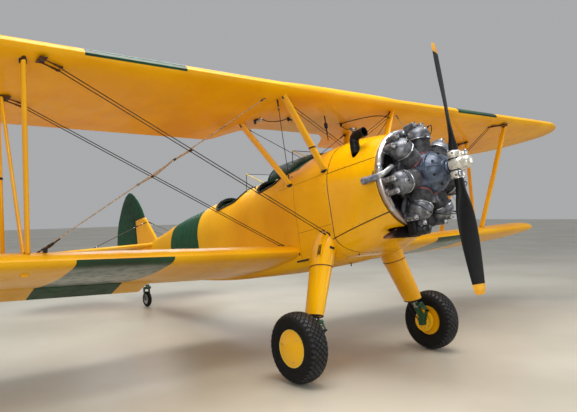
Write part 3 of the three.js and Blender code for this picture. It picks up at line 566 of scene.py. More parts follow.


# Ring colours by height, browner below and paler above: a painted reflection of the floor and the hall.
RING_REFLECTION_STOPS = [(0.0, rgb(168, 150, 144)), (0.5, rgb(196, 186, 184)), (1.0, rgb(208, 208, 210))]
TAIL_STOPS = [
    (0.0, rgb(20, 19, 22)), (0.6, rgb(34, 26, 26)), (0.8, rgb(112, 74, 62)), (1.0, rgb(158, 122, 108))
]
ring_steel = pipe_finish("ring_steel", RING_REFLECTION_STOPS, 2, -0.5, 0.4, 0.26)
tail_pipe_steel = pipe_finish("tail_pipe_steel", TAIL_STOPS, 1, 0.54, 0.66, 0.5)


def leather(name, light, deep, sheen=0.15):
    """Padded leathercloth: fine cells, darker creases, rubbed where it is handled."""
    hide = Finish(name, 0.5, Sheen_Weight=sheen, Specular_IOR_Level=0.25)
    cells = hide.node(
        "ShaderNodeTexVoronoi", {"feature": "DISTANCE_TO_EDGE"}, {0: hide.level, "Scale": 420.0}
    )
    crease = 1.0 - cells.step(0.0, 0.16)
    rub = hide.noise(16.0).step(0.5, 0.72)
    tint = hide.mix(rub, deep, light)
    hide.feed("Base Color", hide.mix(crease * 0.5, tint, shade(deep, 0.4)))
    hide.feed("Roughness", 0.56 - 0.16 * rub + 0.14 * crease)
    hide.bump(crease * -1.0 + hide.noise(40.0), 0.0005)
    return hide.material


rim_leather = leather("rim_leather", rgb(44, 43, 44), rgb(20, 20, 21))
seat_leather = leather("seat_leather", rgb(118, 78, 48), rgb(84, 54, 34))


def clear_sheet():
    """Windscreen plastic: nearly clear, with faint polishing scratches."""
    pane = Finish("clear_sheet", 0.05, IOR=1.49)
    haze = pane.noise(14.0, 4.0, (1.0, 1.0, 9.0)).step(0.45, 0.8)
    pane.feed("Base Color", pane.mix(haze, rgb(214, 226, 222), rgb(238, 242, 238)))
    pane.feed("Alpha", 0.05 + 0.06 * haze)
    pane.feed("Roughness", 0.04 + 0.1 * haze)
    return pane.material


clear_plastic = clear_sheet()
print("finishes:", len(bpy.data.materials))

# %% [markdown]
# ## Wings
# A wing is an airfoil that is repeated from root to tip. Fabric is stretched over ribs
# 29 cm apart, and between them it sinks a few millimetres, except over the nose, where
# thin sheet holds it round. So each panel is a loft of many sections, and the sag is
# worked into the points themselves: it catches the light as the real one does.

# %% Sections
CHORD = 1.522
CENTRE_HALF = 0.86
SAG = 0.0034


def radians_tan(degrees):
    return math.tan(math.radians(degrees))


UPPER = {
    "lead": 1.109, "height": 1.065, "rise": radians_tan(0.48), "from": CENTRE_HALF,
    "lean": math.radians(3.2),
}
LOWER = {"lead": 1.741, "height": -0.51, "rise": radians_tan(1.9), "from": 0.0, "lean": math.radians(3.9)}
LEAD_RUN, TAIL_RUN, PEAK = 0.5, 0.95, 0.27 * CHORD
SIDE_POINTS = 22
HINGE_ALONG, HINGE_UP = 0.8 * CHORD, 0.006 * CHORD
SLOT_AHEAD, LIP_AHEAD = 0.098, 0.08
HINGES = (2.15, 3.79)
BAY = (1.6, 4.34)
TIE_DOWN_X = 3.136


def slot_marks(paint, tint):
    """Shadow in the slot between the lower wing and its aileron."""
    x, y, z = paint.axes()
    c, s = math.cos(LOWER["lean"]), math.sin(LOWER["lean"])
    up = z - LOWER["height"] - x.size() * LOWER["rise"]
    along = (y - LOWER["lead"]) * c - up * s
    slot = 1.0 - (along - (HINGE_ALONG - SLOT_AHEAD)).size().step(0.028, 0.034)
    slot = slot * (x.size() > BAY[0]) * (x.size() < BAY[1]) * (z < 0.3) * (up < -0.06)
    return paint.mix(slot * 0.88, tint, rgb(26, 22, 14)), slot * 0.5


wing_yellow = coated("wing_yellow", YELLOW, YELLOW_DEEP, 0.4, 0.18, taped(*WING_RIBS), slot_marks)
wing_green = coated("wing_green", GREEN, GREEN_DEEP, 0.32, 0.35, taped(*WING_RIBS), slot_marks)
flap_green = coated("flap_green", GREEN, GREEN_DEEP, 0.5, 0.05, taped(*WING_RIBS), slot_marks)


def airfoil(n=SIDE_POINTS):
    """Shares of the chord, with the heights of the upper and lower surface there."""
    s = 0.5 * (1 - np.cos(np.linspace(0, math.pi, n + 1)))
    half = 0.65 * (
        0.2969 * np.sqrt(s) - 0.126 * s - 0.3516 * s**2 + 0.2843 * s**3 - 0.1036 * s**4
    ) + 0.002 * s
    mean = np.where(s < 0.2, 0.5 * (0.4 * s - s * s), 0.03125 * (0.6 + 0.4 * s - s * s))
    return s, mean + half, mean - half


def rise_of(wing, x):
    return wing["height"] + max(0.0, abs(x) - wing["from"]) * wing["rise"]


def on_wing(wing, x, along, up):
    """Point of a wing from its distance behind the leading edge and above the chord line."""
    c, s = math.cos(wing["lean"]), math.sin(wing["lean"])
    return (x, wing["lead"] + along * c + up * s, rise_of(wing, x) - along * s + up * c)


def smoothstep(value, low, high):
    t = np.clip((value - low) / (high - low), 0, 1)
    return t * t * (3 - 2 * t)


def section_at(x, tip):
    """Leading edge, length and depth of the section at a span station."""
    u = max(0.0, (x - (tip - LEAD_RUN)) / LEAD_RUN)
    v = max(0.0, (x - (tip - TAIL_RUN)) / TAIL_RUN)
    lead = PEAK * (1 - math.sqrt(max(0.0, 1 - u * u)))
    length = PEAK + (CHORD - PEAK) * math.sqrt(max(0.0, 1 - v * v)) - lead
    return lead, length, CHORD * min(1.0, (length / CHORD) ** 0.8)


def flat_section(x, tip):
    """The section's two surfaces as (distance, height) points, with the fabric's sag."""
    lead, length, depth = section_at(x, tip)
    s, top, under = airfoil()
    between = abs(math.sin(math.pi * (x - CENTRE_HALF) / RIB)) ** 0.8
    sag = SAG * between * smoothstep(s, 0.05, 0.2) * (1 - smoothstep(s, 0.9, 1.0)) * depth / CHORD
    return lead + s * length, top * depth - sag, under * depth + sag


def closed_ring(along, top, under):
    upper = list(zip(along, top))[::-1]
    return upper + list(zip(along, under))[1:]


def stations(root, tip, marks=()):
    """Span stations: six to a rib bay, closer together towards the tip, and at each mark."""
    even = list(np.arange(root, tip - 0.3, RIB / 6))
    near = [tip - d for d in (0.26, 0.2, 0.15, 0.1, 0.065, 0.04, 0.022, 0.01, 0.002)]
    kept = [x for x in [root, *even, *near] if all(abs(x - m) > 0.012 for m in marks)]
    return sorted({*kept, *marks})


def banded(rings, xs, band, green_from, green_to, fabric, paint):
    """One finish for each face: paint inside the band, on the ring points that it covers."""
    n = len(rings[0])
    finishes = []
    for a, b in zip(xs, xs[1:]):
        inside = band[0] - 1e-6 < (a + b) / 2 < band[1] + 1e-6
        finishes += [paint if inside and green_from <= j < green_to else fabric for j in range(n)]
    return finishes + [fabric, fabric]


# %% Upper wing
UPPER_TIP, LOWER_TIP = 4.84, 4.69
UPPER_BAND, LOWER_BAND = (1.95, 2.83), (1.92, 2.8)
xs = stations(CENTRE_HALF + 0.0003, UPPER_TIP, UPPER_BAND)
rings = [[on_wing(UPPER, x, *p) for p in closed_ring(*flat_section(x, UPPER_TIP))] for x in xs]
upper = Piece("upper_wing_left_skin")
upper.add(loft(rings), banded(rings, xs, UPPER_BAND, 0, SIDE_POINTS + 1, wing_yellow, wing_green))
pair(upper, "airframe", "yellow_fabric", ["upper_wing_left"])
print("upper panel:", len(xs), "sections of", len(rings[0]), "points")

# %% [markdown]
# The centre section is cut away behind, so that the two in the cockpits can look up and
# get in. Its trailing edge follows a table from the middle out to the full chord.

# %% Centre section
CUTOUT = [
    (0.0, 0.712), (0.25, 0.712), (0.507, 0.72), (0.58, 0.75), (0.647, 0.79), (0.72, 0.86), (0.8, 0.955),
    (0.86, 1.0),
]


def centre_ring(x):
    share = float(np.interp(abs(x), *zip(*CUTOUT)))
    s, top, under = airfoil()
    return [on_wing(UPPER, x, *p) for p in closed_ring(s * CHORD * share, top * CHORD, under * CHORD)]


centre_xs = np.linspace(-CENTRE_HALF, CENTRE_HALF, 41)
centre = Piece("upper_centre_section_skin")
centre.add(loft([centre_ring(x) for x in centre_xs]), wing_yellow)
filler = on_wing(UPPER, 0.0, 0.42, 0.147)
profile = [(0, 0.024), (0.03, 0.022), (0.038, 0.012), (0.038, -0.03), (0, -0.03)]
centre.add(turned(profile, 20, filler, (0, 0.05, 1)), steel)
centre.done("airframe", "yellow_fabric", ["upper_centre_section"])

# %% [markdown]
# ## Lower wings and ailerons
# The ailerons hang in a bay of the lower wings. The bay's front is a hollow round the
# hinge line, and the aileron's nose is an oval that turns inside it with a few
# millimetres to spare, so both are drawn from the same hinge point. Below, the skin stops
# a little earlier, and a painted shadow darkens the slot that shows along the whole aileron. Each is
# drawn in line with the wing and then turned to its parked place: starboard down, port up.

# %% Lower wing with its aileron bay
NOSE_R, COVE_R = 0.0425, 0.0505
FLAP = (1.61, 4.33)


def lip(along, surface):
    """Place on a surface where it meets the hollow's circle ahead of the hinge."""
    fine = np.linspace(HINGE_ALONG - 0.06, HINGE_ALONG, 60)
    heights = np.interp(fine, along, surface)
    inside = np.hypot(fine - HINGE_ALONG, heights - HINGE_UP) < COVE_R
    at = fine[np.argmax(inside)] if inside.any() else HINGE_ALONG
    return at, float(np.interp(at, along, surface))


def bay_ring(along, top, under):
    """Section that stops at the hollow; points behind the lips are spread round it."""
    high = lip(along, top)
    low = (HINGE_ALONG - LIP_AHEAD, float(np.interp(HINGE_ALONG - LIP_AHEAD, along, under)))
    start = math.atan2(high[1] - HINGE_UP, high[0] - HINGE_ALONG)
    end = math.atan2(low[1] - HINGE_UP, low[0] - HINGE_ALONG) % (2 * math.pi)
    middle = (start + end) / 2
    upper, lower = list(zip(along, top))[::-1], list(zip(along, under))[1:]

    def arc(t):
        return (HINGE_ALONG + COVE_R * math.cos(t), HINGE_UP + COVE_R * math.sin(t))

    behind = [i for i, p in enumerate(upper) if p[0] > high[0]]
    for k, i in enumerate(reversed(behind)):
        upper[i] = arc(start + (middle - start) * k / max(1, len(behind) - 0.5))
    behind = [i for i, p in enumerate(lower) if p[0] > low[0]]
    for k, i in enumerate(behind):
        lower[i] = arc(end + (middle - end) * k / max(1, len(behind) - 0.5))
    return upper + lower


def body_half(y, z):
    """Half width of the fuselage at a level height, from the section table."""
    half, top, belly, corner = (eased(BODY_Y, column, y) for column in (HALF, TOP, BELLY, CORNER))
    if z > SIDE_Z:
        return half * math.sqrt(max(0.0, 1 - ((z - SIDE_Z) / (top - SIDE_Z)) ** 2))
    if z < belly + corner:
        drop = min(corner, belly + corner - z)
        return half - corner + math.sqrt(max(0.0, corner**2 - drop**2))
    return half


def eased(knots, values, t):
    """Value of a table at t, on a smooth curve through its points."""
    i = int(np.clip(np.searchsorted(knots, t) - 1, 0, len(knots) - 2))
    slopes = [(values[k + 1] - values[k]) / (knots[k + 1] - knots[k]) for k in range(len(knots) - 1)]

    def tangent(k):
        if k == 0 or k == len(knots) - 1:
            return slopes[min(k, len(slopes) - 1)]
        return (values[k + 1] - values[k - 1]) / (knots[k + 1] - knots[k - 1])

    h = knots[i + 1] - knots[i]
    u = min(1.0, max(0.0, (t - knots[i]) / h))
    a, b = tangent(i) * h, tangent(i + 1) * h
    p, q = values[i], values[i + 1]
    return (
        2 * u**3 - 3 * u**2 + 1
    ) * p + (u**3 - 2 * u**2 + u) * a + (3 * u**2 - 2 * u**3) * q + (u**3 - u**2) * b


SIDE_Z = 0.02
BODY_Y = [1.2, 1.5, 1.9, 2.5, 3.0, 3.6, 4.2, 4.8, 5.4, 6.0, 6.52]
HALF = [0.478, 0.47, 0.455, 0.432, 0.412, 0.378, 0.326, 0.268, 0.206, 0.138, 0.042]
TOP = [0.552, 0.548, 0.542, 0.486, 0.484, 0.474, 0.446, 0.416, 0.35, 0.292, 0.262]
BELLY = [-0.64, -0.662, -0.668, -0.668, -0.65, -0.602, -0.532, -0.455, -0.368, -0.275, -0.186]
CORNER = [0.21, 0.17, 0.12, 0.11, 0.11, 0.11, 0.1, 0.085, 0.066, 0.046, 0.018]


def root_ring():
    """The lower wing's first section lies on the fuselage side."""
    ring = []
    for along, up in closed_ring(*flat_section(0.45, LOWER_TIP)):
        _, y, z = on_wing(LOWER, 0.44, along, up)
        ring.append(on_wing(LOWER, body_half(y, z) + 0.0015, along, up))
    return ring


inner = stations(0.56, LOWER_TIP, (*LOWER_BAND, BAY[0] - 1e-4, BAY[0], BAY[1], BAY[1] + 1e-4))
rings, xs = [root_ring()], [0.45]
for x in inner:
    parts = flat_section(x, LOWER_TIP)
    cut = BAY[0] - 1e-6 < x < BAY[1] + 1e-6
    rings.append([on_wing(LOWER, x, *p) for p in (bay_ring(*parts) if cut else closed_ring(*parts))])
    xs.append(x)
lower = Piece("lower_wing_left_skin")
lower.add(
    loft(rings), banded(rings, xs, LOWER_BAND, SIDE_POINTS, 2 * SIDE_POINTS + 1, wing_yellow, wing_green)
)


def hinge_point(x):
    return Vector(on_wing(LOWER, x, HINGE_ALONG, HINGE_UP))


for x in HINGES:
    spot = hinge_point(x)
    lower.add(block((0.01, 0.088, 0.026), spot + Vector((0, -0.031, 0)), edge=0.003), dark_steel)
pad = Vector((TIE_DOWN_X, LOWER["lead"] + 0.09 * CHORD + 0.12, rise_of(LOWER, TIE_DOWN_X) - 0.072))
lower.add(block((0.06, 0.06, 0.04), pad, edge=0.003), wing_yellow)
pair(lower, "airframe", "yellow_fabric", ["lower_wing_left"])


# %% Ailerons
def flap_ring(x):
    """Aileron section: the wing's surfaces behind the hinge and an oval nose before it."""
    along, top, under = flat_section(x, LOWER_TIP)
    back = np.linspace(along[-1], HINGE_ALONG, 12)
    high = np.interp(back, along, top)
    low = np.interp(back, along, under)
    nose = []
    for k in range(1, 9):
        t = math.pi * k / 9
        reach = (high[-1] if t < math.pi / 2 else low[-1]) - HINGE_UP
        up = HINGE_UP + abs(math.cos(t)) * reach
        nose.append((HINGE_ALONG - NOSE_R * math.sin(t), up))
    ring = list(zip(back, high)) + nose + list(zip(back, low))[::-1]
    return [on_wing(LOWER, x, *p) for p in ring]


flap_xs = stations(FLAP[0], FLAP[1] + 0.3, (*LOWER_BAND, FLAP[1]))
flap_xs = [x for x in flap_xs if x <= FLAP[1]]
rings = [flap_ring(x) for x in flap_xs]
aileron = Piece("aileron_left_skin")
aileron.add(loft(rings), banded(rings, flap_xs, LOWER_BAND, 16, len(rings[0]), wing_yellow, flap_green))
for x in HINGES:
    spot = hinge_point(x)
    for side in (-0.02, 0.02):
        aileron.add(block((0.006, 0.06, 0.03), spot + Vector((side, 0.022, 0)), edge=0.002), dark_steel)
    ends = [spot + Vector((d, 0, d * LOWER["rise"])) for d in (-0.024, 0.024)]
    aileron.add(tube(ends, 0.007, 12), steel)


def about_hinge(piece, name, angle):
    """The port aileron turned about its hinge line; a positive angle lifts its rear edge."""
    middle = hinge_point(2.97)
    turn = Matrix.Translation(middle) @ Matrix.Rotation(
        angle, 4, Vector((1, 0, LOWER["rise"]))
    ) @ Matrix.Translation(-middle)
    made = piece.mirrored(name)
    made.points = [tuple(turn @ Vector(p)) for p in piece.points]
    return made


REST = math.radians(17)
about_hinge(aileron, "aileron_left_skin", REST).done("aileron_left", "yellow_fabric", ["aileron_left"])
lowered = about_hinge(aileron, "lowered", -REST).mirrored("aileron_right_skin")
lowered.done("aileron_right", "yellow_fabric", ["aileron_right"])
print("aileron:", len(flap_xs), "sections, parked", round(math.degrees(REST)), "degrees off neutral")

# %% [markdown]
# ## Tail
# The fin, rudder, tailplane and elevator are thin leaves: thick at the hinge, almost
# sharp behind. A leaf is again a loft, of rounded slivers between its front and rear
# outline, and it has the same sag between its ribs as the wings.

# %% Tail leaves
TAIL_PITCH, TAIL_START = TAIL_RIBS


def leaf(stations, front, rear, thick, axis, shift=0.0, pitch=TAIL_PITCH, start=TAIL_START, n=10):
    """Loft of slivers; thick is the half thickness at the front and at the rear edge."""
    rings = []
    for t in stations:
        a, b = front(t), rear(t)
        s = 0.5 * (1 - np.cos(np.linspace(0, math.pi, n + 1)))
        span = max(0.004, b - a)
        body = thick[0] + (thick[1] - thick[0]) * s
        room = np.sqrt(np.minimum(1.0, np.minimum(s * span / 0.03, (1 - s) * span / 0.02)))
        sag = 0.0022 * abs(math.sin(math.pi * (t - start) / pitch)) ** 0.8 * np.sin(math.pi * s) ** 0.5
        half = np.maximum(0.0005, body * room * min(1.0, span / 0.12) - sag)
        ring = [(a + span * q, h) for q, h in zip(s, half)] + [
            (a + span * q, -h)
            for q, h in zip(s, half)
        ][-2:0:-1]
        rings.append([(h, y, t) if axis == "x" else (t, y, h + shift) for y, h in ring])
    return loft(rings)


def along_table(table):
    knots, values = zip(*table)
    return lambda t: float(np.interp(t, knots, values))


def steps(table, count, marks=()):
    """Stations over a table's range, closer at its end."""
    low, high = table[0][0], table[-1][0]
    share = np.sin(np.linspace(0, math.pi / 2, count))
    return sorted({*(low + (high - low) * share), *marks})


TAIL_Z, ELEV_Y, HINGE_Y = 0.215, 6.53, 6.56
STAB_FRONT = [
    (0.06, 5.7), (0.3, 5.8), (0.9, 6.01), (1.35, 6.17), (1.56, 6.262), (1.668, 6.35), (1.7, 6.44),
    (1.704, 6.49),
]
ELEV_REAR = [
    (0.09, 6.58), (0.15, 6.62), (0.36, 6.96), (0.43, 7.06), (0.56, 7.1), (0.8, 7.112), (1.05, 7.08),
    (1.3, 7.01), (1.5, 6.91), (1.64, 6.79), (1.7, 6.66), (1.704, 6.512),
]
stab_xs = steps([(0.13, 0), (1.704, 0)], 44)
stab = Piece("stabilizer_left_skin")
stab.add(
    leaf(stab_xs, along_table(STAB_FRONT), lambda t: ELEV_Y - 0.036, (0.031, 0.026), "z", TAIL_Z),
    tail_yellow,
)
pair(stab, "airframe", "yellow_fabric", ["stabilizer_left"])

elev_xs = steps([(0.09, 0), (1.704, 0)], 48, (0.15, 0.36, 0.43))
half_elevator = Piece("half")
half_elevator.add(
    leaf(elev_xs, lambda t: ELEV_Y - 0.024, along_table(ELEV_REAR), (0.028, 0.006), "z", TAIL_Z),
    tail_yellow,
)
for x in (0.42, 0.98, 1.5):
    half_elevator.add(block((0.012, 0.05, 0.03), (x, ELEV_Y - 0.018, TAIL_Z), edge=0.003), dark_steel)
elevator = half_elevator.mirrored("elevator_skin")
elevator.include(half_elevator)
elevator.add(tube([(-0.13, ELEV_Y, TAIL_Z), (0.13, ELEV_Y, TAIL_Z)], 0.014, 16), metal_yellow)
elevator.done("elevator", "yellow_fabric", ["elevator"])

FIN_FRONT = [(0.18, 5.72), (0.24, 5.74), (0.33, 5.83), (0.54, 6.0), (0.722, 6.15), (0.735, 6.185)]
RUDDER_REAR = [
    (-0.17, 6.56), (-0.158, 6.7), (-0.096, 6.95), (0.02, 7.18), (0.19, 7.34), (0.36, 7.404), (0.47, 7.409),
    (0.65, 7.36), (0.84, 7.262), (1.037, 7.102), (1.15, 6.985), (1.236, 6.858), (1.277, 6.72),
]
HORN = [(0.747, 6.196), (0.905, 6.268), (1.06, 6.383), (1.18, 6.5), (1.252, 6.6), (1.277, 6.7)]


def rudder_front(z):
    if z > 0.7465:
        return along_table(HORN)(z)
    return HINGE_Y + 0.08 if abs(z - TAIL_Z) < 0.062 else HINGE_Y - 0.022


fin = Piece("fin_skin")
fin_zs = np.linspace(0.2, 0.731, 30)
fin.add(
    leaf(
        fin_zs, along_table(FIN_FRONT), lambda t: HINGE_Y - 0.034, (0.028, 0.026), "x", pitch=0.27,
        start=0.02,
    ),
    fin_yellow,
)
fin.done("airframe", "yellow_fabric", ["fin"])
rudder = Piece("rudder_skin")
edges = (0.1529, 0.1531, 0.2769, 0.2771, 0.7464, 0.7466)
rudder_zs = sorted({*np.linspace(-0.17, 1.15, 52), *np.linspace(1.16, 1.277, 12), *edges})
rudder.add(
    leaf(rudder_zs, rudder_front, along_table(RUDDER_REAR), (0.027, 0.006), "x", pitch=0.27, start=0.02),
    rudder_green,
)
for z in (0.04, 0.56):
    for lift in (-0.022, 0.022):
        rudder.add(block((0.03, 0.07, 0.006), (0, HINGE_Y + 0.002, z + lift), edge=0.002), dark_steel)
    rudder.add(tube([(0, HINGE_Y, z - 0.03), (0, HINGE_Y, z + 0.03)], 0.007, 12), steel)
rudder.done("rudder", "green_fabric", ["rudder"])
print("tail leaves made")

# %% [markdown]
# ## Small hardware by Geometry Nodes
# An aircraft is held together by thousands of equal heads: rivets, screws, nuts. Copying
# them by hand is slow, so one node tree puts a head on every point of a small cloud, and
# turns it to face the way that the point's "facing" attribute says. Its radius, height
# and number of sides are inputs, so the same tree makes a rivet or a hexagon nut.

# %% A tree that sets heads on points


def tree_with(name, inputs):
    """A geometry tree with a mesh input and the named numbers after it."""
    tree = bpy.data.node_groups.new(name, "GeometryNodeTree")
    tree.interface.new_socket("Geometry", in_out="INPUT", socket_type="NodeSocketGeometry")
    tree.interface.new_socket("Geometry", in_out="OUTPUT", socket_type="NodeSocketGeometry")
    for label, kind in inputs:
        tree.interface.new_socket(label, in_out="INPUT", socket_type=kind)
    return tree, tree.nodes.new("NodeGroupInput"), tree.nodes.new("NodeGroupOutput")


def link_rows(tree, rows):
    """Links from (node, its output, node, its input) rows."""
    for source, output, target, socket in rows:
        tree.links.new(source.outputs[output], target.inputs[socket])


def run_tree(made, tree, values):
    """Puts a node tree on an object, with the values of its named inputs."""
    maker = made.modifiers.new(tree.name, "NODES")
    maker.node_group = tree
    for item in tree.interface.items_tree:
        if item.name in values:
            maker[item.identifier] = values[item.name]


def head_tree():
    numbers = [("Radius", "NodeSocketFloat"), ("Top", "NodeSocketFloat"), ("Height", "NodeSocketFloat")]
    tree, start, end = tree_with(
        "heads_on_points", numbers + [("Sides", "NodeSocketInt"), ("Finish", "NodeSocketMaterial")]
    )
    head = tree.nodes.new("GeometryNodeMeshCone")
    facing = tree.nodes.new("GeometryNodeInputNamedAttribute")
    facing.data_type = "FLOAT_VECTOR"
    facing.inputs["Name"].default_value = "facing"
    aim = tree.nodes.new("FunctionNodeAlignRotationToVector")
    place = tree.nodes.new("GeometryNodeInstanceOnPoints")
    real = tree.nodes.new("GeometryNodeRealizeInstances")
    colour = tree.nodes.new("GeometryNodeSetMaterial")
    link_rows(tree, [
        (start, "Sides", head, "Vertices"),
        (start, "Radius", head, "Radius Bottom"),
        (start, "Top", head, "Radius Top"),
        (start, "Height", head, "Depth"),
        (facing, "Attribute", aim, "Vector"),
        (start, "Geometry", place, "Points"),
        (head, "Mesh", place, "Instance"),
        (aim, "Rotation", place, "Rotation"),
        (place, "Instances", real, "Geometry"),
        (real, "Geometry", colour, "Geometry"),
        (start, "Finish", colour, "Material"),
        (colour, "Geometry", end, "Geometry"),
    ])
    return tree


HEADS = head_tree()


def plain_mesh(made):
    """Freezes an object's modifiers into an ordinary mesh."""
    bpy.context.view_layer.update()
    result = bpy.data.meshes.new_from_object(made.evaluated_get(bpy.context.evaluated_depsgraph_get()))
    made.modifiers.clear()
    made.data = result
    return made


def heads(name, spots, radius, height, sides, finish, body, top=0.7):
    """Heads on (place, facing) pairs in level axes, as one piece on a body."""
    cloud = bpy.data.meshes.new(name)
    cloud.from_pydata([tuple(p) for p in standing([s[0] for s in spots])], [], [])
    facing = cloud.attributes.new("facing", "FLOAT_VECTOR", "POINT")
    turned_way = [TIP.to_3x3() @ Vector(s[1]).normalized() for s in spots]
    facing.data.foreach_set("vector", np.array(turned_way).ravel())
    made = placed(name, cloud)
    values = {"Radius": radius, "Top": radius * top, "Height": height, "Sides": sides, "Finish": finish}
    run_tree(made, HEADS, values)
    return settle(plain_mesh(made), body)


# %% [markdown]
# ## Fuselage
# Ahead of the front cockpit the fuselage is sheet metal on a welded frame; behind, cotton
# over wooden stringers. Its section is a flat-sided box with an arched deck. The skin is a
# loft of many sections with the fabric's sag in them, the room inside is a second loft a
# little smaller, and a Boolean takes it out together with the two cockpit openings.

# %% Body sections
WALL = 0.016
BODY_BAND = (3.955, 4.905)
PANEL_JOINT_Z, PANEL_JOINT_Y = 0.222, 1.72
FIREWALL = 1.2
COCKPITS = {"front": (2.02, 2.58, 0.345), "rear": (2.9, 3.55, 0.312)}


def body_values(y, inset=0.0):
    half, top, belly, corner = (eased(BODY_Y, column, y) for column in (HALF, TOP, BELLY, CORNER))
    return half - inset, top - inset, belly + inset, max(0.004, corner - inset)


def slack(y, count):
    """Fabric sag at count places between stringers; the metal front has none."""
    bays = abs(math.sin(math.pi * (y - 2.0) / 0.62)) ** 0.7
    return 0.0042 * bays * float(smoothstep(y, 2.7, 3.3)) * (1 - float(smoothstep(y, 6.0, 6.5))) * count


def body_ring(y, inset=0.0):
    """Closed section: across the belly, round its corner, up the side and over the deck."""
    half, top, belly, corner = body_values(y, inset)
    sag = slack(y, 1.0) if inset == 0 else 0.0
    right = [((half - corner) * k / 5, belly + sag * math.sin(math.pi * k / 5)) for k in range(5)]
    for k in range(7):
        a = math.pi / 2 * k / 6
        right.append((half - corner + corner * math.sin(a), belly + corner - corner * math.cos(a)))
    foot = belly + corner
    for k in range(1, 12):
        dip = abs(math.sin(math.pi * 2 * k / 12))
        right.append((half - sag * dip, foot + (SIDE_Z - foot) * k / 12))
    for k in range(0, 24):
        a = math.pi / 2 * k / 24
        dip = 1 - sag * abs(math.sin(4 * a)) / half
        right.append((half * math.cos(a) * dip, SIDE_Z + (top - SIDE_Z) * math.sin(a) * dip))
    left = [(-x, z) for x, z in right[:0:-1]]
    return [(x, y, z) for x, z in right + [(0.0, top)] + left]


def deck_height(x, y):
    half, top, _, _ = body_values(y)
    return SIDE_Z + (top - SIDE_Z) * math.sqrt(max(0.0, 1 - (x / half) ** 2))


def opening(name, grow=0.0, corner=0.15, arc=9):
    """Outline of a cockpit opening seen from above: a box with round corners."""
    y0, y1, half = COCKPITS[name]
    y0, y1, half, r = y0 - grow, y1 + grow, half + grow, corner + grow
    outline = []
    for cx, cy, start in (
        (half - r, y0 + r, -90), (half - r, y1 - r, 0), (r - half, y1 - r, 90), (r - half, y0 + r, 180)
    ):
        for k in range(arc):
            a = math.radians(start + 90 * k / (arc - 1))
            outline.append((cx + r * math.cos(a), cy + r * math.sin(a)))
    return outline


def carved(piece, cutters, body, replaces=(), crease=32.0):
    """The piece with each cutter's shape taken out; cut faces get the cutter's finish."""
    made = placed(piece.name, piece.mesh(crease))
    tools = []
    for cutter in cutters:
        tool = placed(cutter.name, cutter.mesh())
        cut = made.modifiers.new(cutter.name, "BOOLEAN")
        cut.operation, cut.solver, cut.material_mode, cut.object = "DIFFERENCE", "EXACT", "TRANSFER", tool
        tools.append(tool)
    plain_mesh(made)
    for tool in tools:
        bpy.data.objects.remove(tool)
    smooth(made.data, crease)
    return settle(made, body, replaces)


# %% Body paint


def seam(distance, width=0.0016):
    """1 on a narrow line, 0 beside it."""
    return 1.0 - distance.size().step(width, width + 0.0012)


def body_marks(paint, tint):
    """Green band, green anti-glare deck and the joints of the metal panels."""
    x, y, z = paint.axes()
    band = (y > BODY_BAND[0]) * (y < BODY_BAND[1])
    edge = 0.2 + 0.118 * y.step(1.53, 1.76)
    deck = (x.size() - (y - 1.2) * 0.62 < 0.02) * (x.size() - edge < 0.0) * (y < 2.0) * (z > 0.3)
    tint = paint.mix(band.either(deck), tint, GREEN)
    front = y < 2.0
    lines = seam(z - PANEL_JOINT_Z) * front
    lines = lines.either(seam(y - 1.93) * (z > PANEL_JOINT_Z))
    lines = lines.either(seam(z + 0.3) * (y < PANEL_JOINT_Y))
    lines = lines.either(seam(y - PANEL_JOINT_Y) * (z < PANEL_JOINT_Z) * (z > -0.62))
    tint = paint.mix(lines * 0.75, tint, rgb(96, 52, 6))
    return tint, lines * 0.7


def body_relief(paint):
    _, y, _ = paint.axes()
    return weave(paint) * y.step(1.9, 2.0)


body_paint = coated("body_paint", YELLOW, YELLOW_DEEP, 0.5, 0.0, body_relief, body_marks)

# %% Fuselage skin
body = Piece("fuselage_skin")
body.add(loft([body_ring(y) for y in np.linspace(FIREWALL, BODY_Y[-1], 116)]), body_paint)
room = Piece("room")
room.add(loft([body_ring(y, WALL) for y in np.linspace(1.22, 3.7, 34)]), cockpit_green)
cutters = [room]
for name in COCKPITS:
    outline = opening(name)
    hole = Piece("opening_" + name)
    hole.add(loft([[(x, y, z) for x, y in outline] for z in (0.06, 0.86)]), cockpit_green)
    cutters.append(hole)
notch = Piece("notch")
notch.add(block((0.4, 0.11, 0.068), (0, 6.545, TAIL_Z), edge=0.001), metal_yellow)
cutters.append(notch)
fuselage = carved(body, cutters, "airframe", ["fuselage"])
print("fuselage faces:", len(fuselage.data.polygons))
lugs = Piece("tail_lugs")
flat_lug = (0.026, 0.072, 0.01)
for size, y, z in (
    ((0.018, 0.075, 0.042), 6.508, TAIL_Z), (flat_lug, 6.537, 0.04), (flat_lug, 6.537, 0.56)
):
    lugs.add(block(size, (0, y, z), edge=0.003), dark_steel)
lugs.done("airframe", "yellow_metal")

# %% [markdown]
# ## Cowl
# Behind the cylinders a sheet-metal cowl eases from a circle to the shape of the first
# fuselage section. Each of its points slides along a straight line between the two shapes,
# with a blend that starts fast and ends flush. A rolled lip closes its front edge, and a
# flat black baffle fills the circle behind the engine; its black is painted shade deep behind the
# cylinders.

# %% Cowl skin
COWL_FROM, COWL_TO, COWL_R, COWL_DROP = 0.54, 1.1995, 0.472, 0.008
TOP_JOINT, LOW_JOINT, JOINT_SLOPE = 0.207, 0.2, 0.2066
firewall_ring = body_ring(FIREWALL)


def cowl_ring(y, inset=0.0):
    share = math.sin(min(1.0, max(0.0, (y - COWL_FROM) / (FIREWALL - COWL_FROM))) * math.pi / 2)
    ring = []
    for x, _, z in firewall_ring:
        angle = math.atan2(z + 0.02, x)
        cx, cz = COWL_R * math.cos(angle), COWL_R * math.sin(angle) - COWL_DROP
        px, pz = cx * (1 - share) + x * share, cz * (1 - share) + z * share
        scale = 1 - inset / math.hypot(px, pz)
        ring.append((px * scale, y, pz * scale))
    return ring


